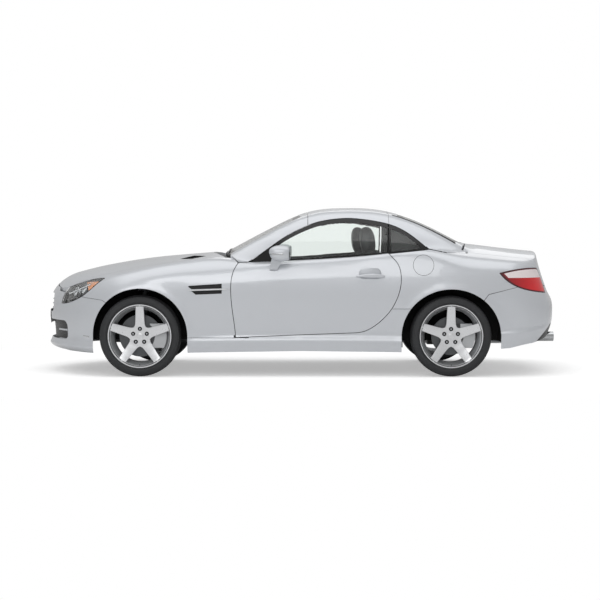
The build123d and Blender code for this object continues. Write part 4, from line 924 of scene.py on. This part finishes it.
# ------------------------------------------------------------ linings
# Cloth headliner under the roof pieces and moulded trim inside the doors, clipped to the steel: the
# sides of those panels that face the cabin.
headliner = moulded("black_knitted_headliner", "2A2B2D", 0.9, 0.0024, 0.0004)
trim_mould = moulded("grained_door_trim", "232427", 0.55, 0.0018, 0.00018)
CABIN_MIDDLE = Vector((0.35, 0, 0.75))
LINED = (("roof_panel", headliner, "chassis"), ("rear_roof_frame", headliner, "chassis"),
         ("windscreen_frame", headliner, "chassis"), ("door_left", trim_mould, "door_left"),
         ("door_right", trim_mould, "door_right"))
for name, lining, body in LINED:
    bm = copied(name)
    bm.normal_update()
    for face in bm.faces:
        inward = (CABIN_MIDDLE - face.calc_center_median()).normalized()
        face.material_index = 1 if face.normal.dot(inward) > 0.3 else 0
    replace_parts(piece(f"{name}_lined", bm, [silver, lining], body, sharp=35), name)

# ------------------------------------------------------------ grille and plates
# A moulded black lattice behind bright slats in the upper opening, clipped to the bumper cover, and
# plain black number plate holders screwed to both bumper covers.
CELL = 0.014
lattice = blank("black_honeycomb_lattice")
place = add(lattice, "TexCoord").outputs["Object"]
flat = add(lattice, "VectorMath", {0: place, 1: (0.001, 1.0, 1.0)}, operation="MULTIPLY")
cells = add(lattice, "TexVoronoi", {"Vector": flat, "Scale": 1 / CELL, "Randomness": 0.0}, feature="DISTANCE_TO_EDGE")
# the hollows of the cells, sunk by the bump below
shaded_hollow = add(lattice, "MapRange", {"Value": cells.outputs["Distance"], "From Min": 0.10, "From Max": 0.18})
# painted shade: the cell hollows are near-black, and the lattice's walls a paler black
tone = add(lattice, "Mix", {"Factor": shaded_hollow, 6: colour("1E1F21"), 7: colour("030303")}, data_type="RGBA")
relief = add(lattice, "Bump", {"Height": shaded_hollow, "Strength": 0.9, "Distance": 0.004}, invert=True)
body = add(lattice, "BsdfPrincipled", {"Base Color": tone, "Roughness": 0.35, "Normal": relief})
add(lattice, "OutputMaterial", {"Surface": body})
dress(lattice, "grille")
tree = skin_of("grille")
SLAT_HEIGHTS = (0.512, 0.548, 0.584)
SLAT_HALF = 0.42
for number, z in enumerate(SLAT_HEIGHTS):
    slat = laid(tree, line((-2.4, -SLAT_HALF, z), (-2.4, SLAT_HALF, z), 60), (1, 0, 0), (0, 0, 1), 0.012, 0.010)
    thicken(piece(f"grille_slat_{number + 1}", slat, bright, "chassis"), 0.003)
PLATE_HIGH = 0.112
PLATE_HALF = 0.15
for end, z, way in (("front", 0.441, 1), ("rear", 0.615, -1)):
    path = line((-way * 2.6, -PLATE_HALF, z), (-way * 2.6, PLATE_HALF, z), 20)
    holder = laid(skin_of(f"{end}_bumper"), path, (way, 0, 0), (0, 0, 1), PLATE_HIGH, 0.006)
    thicken(piece(f"{end}_plate_holder", holder, black_mould, "chassis"), 0.004)

FINS = ((0.3475, 0.020), (0.2760, 0.010))      # height and width of the fins in the corner intakes
for hand, side in HANDS:
    way = Vector((0.75, -side * 0.66, 0))
    along = Vector((0.66, side * 0.75, 0))
    near, far = (Vector(end).dot(along) for end in ((-2.010, side * 0.440, 0), (-1.925, side * 0.600, 0)))
    for number, (z, width) in enumerate(FINS):
        start = way * -3 + Vector((0, 0, z))
        path = line(start + along * near, start + along * far, 24)
        fin = laid(tree, path, way, (0, 0, 1), width, 0.014)
        thicken(piece(f"corner_intake_fin_{number + 1}_{hand}", fin, silver, "chassis"), 0.004)

# ------------------------------------------------------------ rear bumper
# Moulded cover in body colour, clipped to the wings and to the beam behind it, with a black diffuser
# let into its lower edge between the tailpipes.
DIFFUSER_START = Vector((1.850, 0, 0.262))
DIFFUSER_TOP = 0.400
slant = Vector((1.04, 0, -1)).normalized()      # the diffuser's edge rises rearward
bm = copied("rear_bumper")
cut(bm, DIFFUSER_START, slant, dist=1e-6)
cut(bm, (0, 0, DIFFUSER_TOP), (0, 0, 1), dist=1e-6)
for face in bm.faces:
    middle = face.calc_center_median()
    if (middle - DIFFUSER_START).dot(slant) > 0 and middle.z < DIFFUSER_TOP:
        face.material_index = 1
cover = piece("rear_bumper_cover", outward(bm), [silver, black_mould], "chassis", sharp=35)
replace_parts(cover, "rear_bumper")

# ------------------------------------------------------------ seals and draught stop
# Rubber seals run down both sides of the rear window. A padded panel is clipped behind the seats
# between two roll hoops, and the roof's quarters have plain trim inside and a painted gutter outside.
rubber_seal = moulded("black_rubber_seal", "0C0D0E", 0.6, 0.003, 0.0001)
HOOP_X, HOOP_Y = 0.735, 0.365
HOOP_HALF = 0.165
HOOP_TUBE_R = 0.022
HOOP_STEPS = 24
TUBE_SIDES = 10
roof = skin_of("rear_roof_frame")
for hand, side in HANDS:
    path = line((0.735, side * 0.531, 1.6), (1.235, side * 0.577, 1.6), 40)
    bm = laid(roof, path, (0, 0, -1), (0, 1, 0), 0.026, 0.0035, ends=lambda t: 0.45 + 0.55 * t)
    thicken(piece(f"rear_window_seal_{hand}", bm, rubber_seal, "chassis"), 0.002)
    hoop = bmesh.new()
    rings = []
    for i in range(HOOP_STEPS + 1):
        turn = math.pi * i / HOOP_STEPS
        rise = 0.900 + 0.185 * math.sin(turn) ** 0.7 if 0 < i < HOOP_STEPS else 0.86
        centre = Vector((HOOP_X - 0.02 * math.sin(turn), side * HOOP_Y - HOOP_HALF * math.cos(turn), rise))
        out = Vector((0, -math.cos(turn), math.sin(turn)))
        ring = []
        for k in range(TUBE_SIDES):
            a = math.tau * k / TUBE_SIDES
            ring.append(hoop.verts.new(centre + HOOP_TUBE_R * (out * math.cos(a) + Vector((math.sin(a), 0, 0)))))
        rings.append(ring + ring[:1])
    strips(hoop, rings)
    bmesh.ops.holes_fill(hoop, edges=hoop.edges[:], sides=12)
    piece(f"roll_hoop_{hand}", outward(hoop), soft_skin, "chassis")
QUARTER_RIM = ((0.705, 0.900), (1.150, 0.935), (1.060, 0.985), (0.960, 1.065), (0.860, 1.125), (0.705, 1.180))
for hand, side in HANDS:      # trim inside the roof's quarters
    bm = bmesh.new()
    bm.faces.new([bm.verts.new((x, side * (0.625 - 0.20 * (z - 0.9)), z)) for x, z in QUARTER_RIM])
    thicken(piece(f"quarter_trim_{hand}", bm, soft_skin, "chassis", smooth=False), 0.004, 0)
bm = rounded_form((0.012, 0.98, 0.200), (0.742, 0, 0.985), power=9, cuts=8)
piece("draught_stop", bm, soft_skin, "chassis")


def first_met(tree, side, x, heights):
    """The first of these heights, in millimetres, at which the outer skin is met."""
    for height in heights:
        point = met(tree, side, x, height / 1000)
        if point is not None and point.y * side > 0.5:
            return height / 1000


GUTTER_FRONT, GUTTER_LONG, GUTTER_STEPS = 1.005, 0.325, 33
for hand, side in HANDS:      # body-coloured gutter under the joint of the roof and the rear wing
    wing = skin_of(f"rear_quarter_{hand}")
    bm = bmesh.new()
    rows = []
    for i in range(GUTTER_STEPS + 1):
        x = GUTTER_FRONT + GUTTER_LONG * i / GUTTER_STEPS
        high = first_met(roof, side, x, range(940, 1040, 2))
        low = first_met(wing, side, x, range(1030, 930, -2))
        if high is None or low is None:
            continue
        top, foot = met(roof, side, x, high + 0.006), met(wing, side, x, low - 0.006)
        if top is not None and foot is not None and abs(top.y - foot.y) < 0.08:
            edges = ((top, 0.006), ((top + foot) / 2, 0.005), (foot, 0.006))
            rows.append([bm.verts.new(point - Vector((0, side * depth, 0))) for point, depth in edges])
    strips(bm, rows)
    thicken(piece(f"roof_gutter_{hand}", outward(bm), silver, "chassis"), 0.001, 0)

# ------------------------------------------------------------ small things on the skin
# Side marker lamps snapped into the front bumper's skin, and the shut line round the fuel flap, which
# is sprung into the left rear wing's pressing.
MARKER_X, MARKER_Z = -1.705, 0.312
MARKER_LONG, MARKER_FALL = 0.050, 0.006
FLAP_X, FLAP_Z = 0.962, 0.871
FLAP_R = 0.080
FLAP_GAP = 0.0026
for hand, side in HANDS:
    path = line((MARKER_X, side * 1.5, MARKER_Z), (MARKER_X + MARKER_LONG, side * 1.5, MARKER_Z - MARKER_FALL), 8)
    bm = laid(skin_of("front_bumper"), path, (0, -side, 0), (0, 0, 1), 0.014, 0.0015)
    piece(f"side_marker_{hand}", bm, bright, "chassis")
tree = skin_of("rear_quarter_left")
bm = bmesh.new()
rows = []
for i in range(61):
    out = Vector((math.cos(math.radians(6 * i)), 0, math.sin(math.radians(6 * i))))
    ring = [Vector((FLAP_X, -1.5, FLAP_Z)) + out * r for r in (FLAP_R - FLAP_GAP / 2, FLAP_R + FLAP_GAP / 2)]
    rows.append([bm.verts.new(tree.ray_cast(start, Vector((0, 1, 0)))[0] - Vector((0, 0.0004, 0))) for start in ring]
                if i < 60 else rows[0])
strips(bm, rows)
piece("fuel_flap_joint", outward(bm), black_mould, "chassis")

# ------------------------------------------------------------ brake calipers and uprights
# Cast iron uprights that hold the wheel bearings, with silver-painted calipers bolted on behind the
# axles, over the discs.


def upright_cast(name, split):
    """Dark casting ahead of split, silver-painted caliper behind it."""
    material = blank(name)
    place = add(material, "TexCoord").outputs["Object"]
    x = add(material, "SeparateXYZ", {"Vector": place}).outputs["X"]
    behind = add(material, "Math", {0: x, 1: split}, operation="GREATER_THAN")
    grains = add(material, "TexNoise", {"Vector": place, "Scale": 400.0})
    grey = add(material, "Math", {0: grains.outputs["Fac"], 1: 0.25}, operation="MULTIPLY")
    tone = add(material, "Mix", {"Factor": behind, 6: colour("3B3C3D"), 7: colour("C6C8CA")}, data_type="RGBA")
    tone = add(material, "Mix", {"Factor": grey, 6: tone, 7: colour("7B7C7D")}, data_type="RGBA")
    relief = add(material, "Bump", {"Height": grains.outputs["Fac"], "Strength": 0.3, "Distance": 0.0006})
    body = add(material, "BsdfPrincipled", {"Base Color": tone, "Roughness": 0.4, "Metallic": 0.4,
                                            "Normal": relief})
    add(material, "OutputMaterial", {"Surface": body})
    return material


CALIPER_EDGE = 0.075      # the calipers begin this far behind the axles
for end, nodes in (("front", ("front_knuckle_left", "front_knuckle_right")), ("rear", ("rear_suspension",))):
    axle = next(hub.x for which, hand, side, hub in WHEELS if which == end)
    dress(upright_cast(f"{end}_upright_casting", axle + CALIPER_EDGE), *nodes)

# ------------------------------------------------------------ door handles
# Painted cast pull bars, rounded and drawn out to a point at the front. Each hangs on two posts that
# are bolted through the door's skin.
HANDLE_Y, HANDLE_Z = 0.900, 0.786
for hand, side in HANDS:
    low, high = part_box(f"door_handle_{hand}")
    long = high[0] - low[0]
    middle = ((low[0] + high[0]) / 2, side * HANDLE_Y, HANDLE_Z)
    bm = rounded_form((long - 0.004, 0.0125, 0.030), middle, power=3.0, cuts=12)
    for vert in bm.verts:
        t = (vert.co.x - low[0]) / long
        taper = 0.45 + 0.55 * min(1, t / 0.55)
        vert.co.z = HANDLE_Z + (vert.co.z - HANDLE_Z) * taper + 0.004 * math.sin(math.pi * t)
        vert.co.y -= side * 0.006 * abs(2 * t - 1) ** 3
    bar = piece(f"door_handle_bar_{hand}", bm, silver, f"door_{hand}", sharp=60)
    for number, x in enumerate((0.483, 0.609)):
        post = rounded_form((0.018, 0.036, 0.014), (x, side * 0.880, HANDLE_Z + 0.002), power=4, cuts=4)
        piece(f"door_handle_post_{number + 1}_{hand}", post, silver, f"door_{hand}")
    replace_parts(bar, f"door_handle_{hand}")

# ------------------------------------------------------------ wipers and inside mirror
# Black spring-steel wiper arms with rubber blades at the foot of the windscreen, and a mirror on a
# stalk that is bonded to the glass.
WIPERS = (                # the two ends of each, from above
    ((-0.566, -0.46, 1.5), (-0.572, 0.08, 1.5)),
    ((-0.580, 0.02, 1.5), (-0.538, 0.53, 1.5)))
tree = skin_of("windscreen")
for number, ends in enumerate(WIPERS):
    blade = laid(tree, line(*ends, 30), (0, 0, -1), (1, 0, 0), 0.014, 0.007)
    thicken(piece(f"wiper_blade_{number + 1}", blade, black_mould, "chassis"), 0.006)
bm = rounded_form((0.028, 0.230, 0.062), (-0.045, 0, 1.150), power=4, cuts=10)
piece("inside_mirror", bm, black_mould, "chassis")
bm = rounded_form((0.020, 0.020, 0.080), (-0.060, 0, 1.195), power=4, cuts=4)
piece("inside_mirror_stalk", bm, black_mould, "chassis")
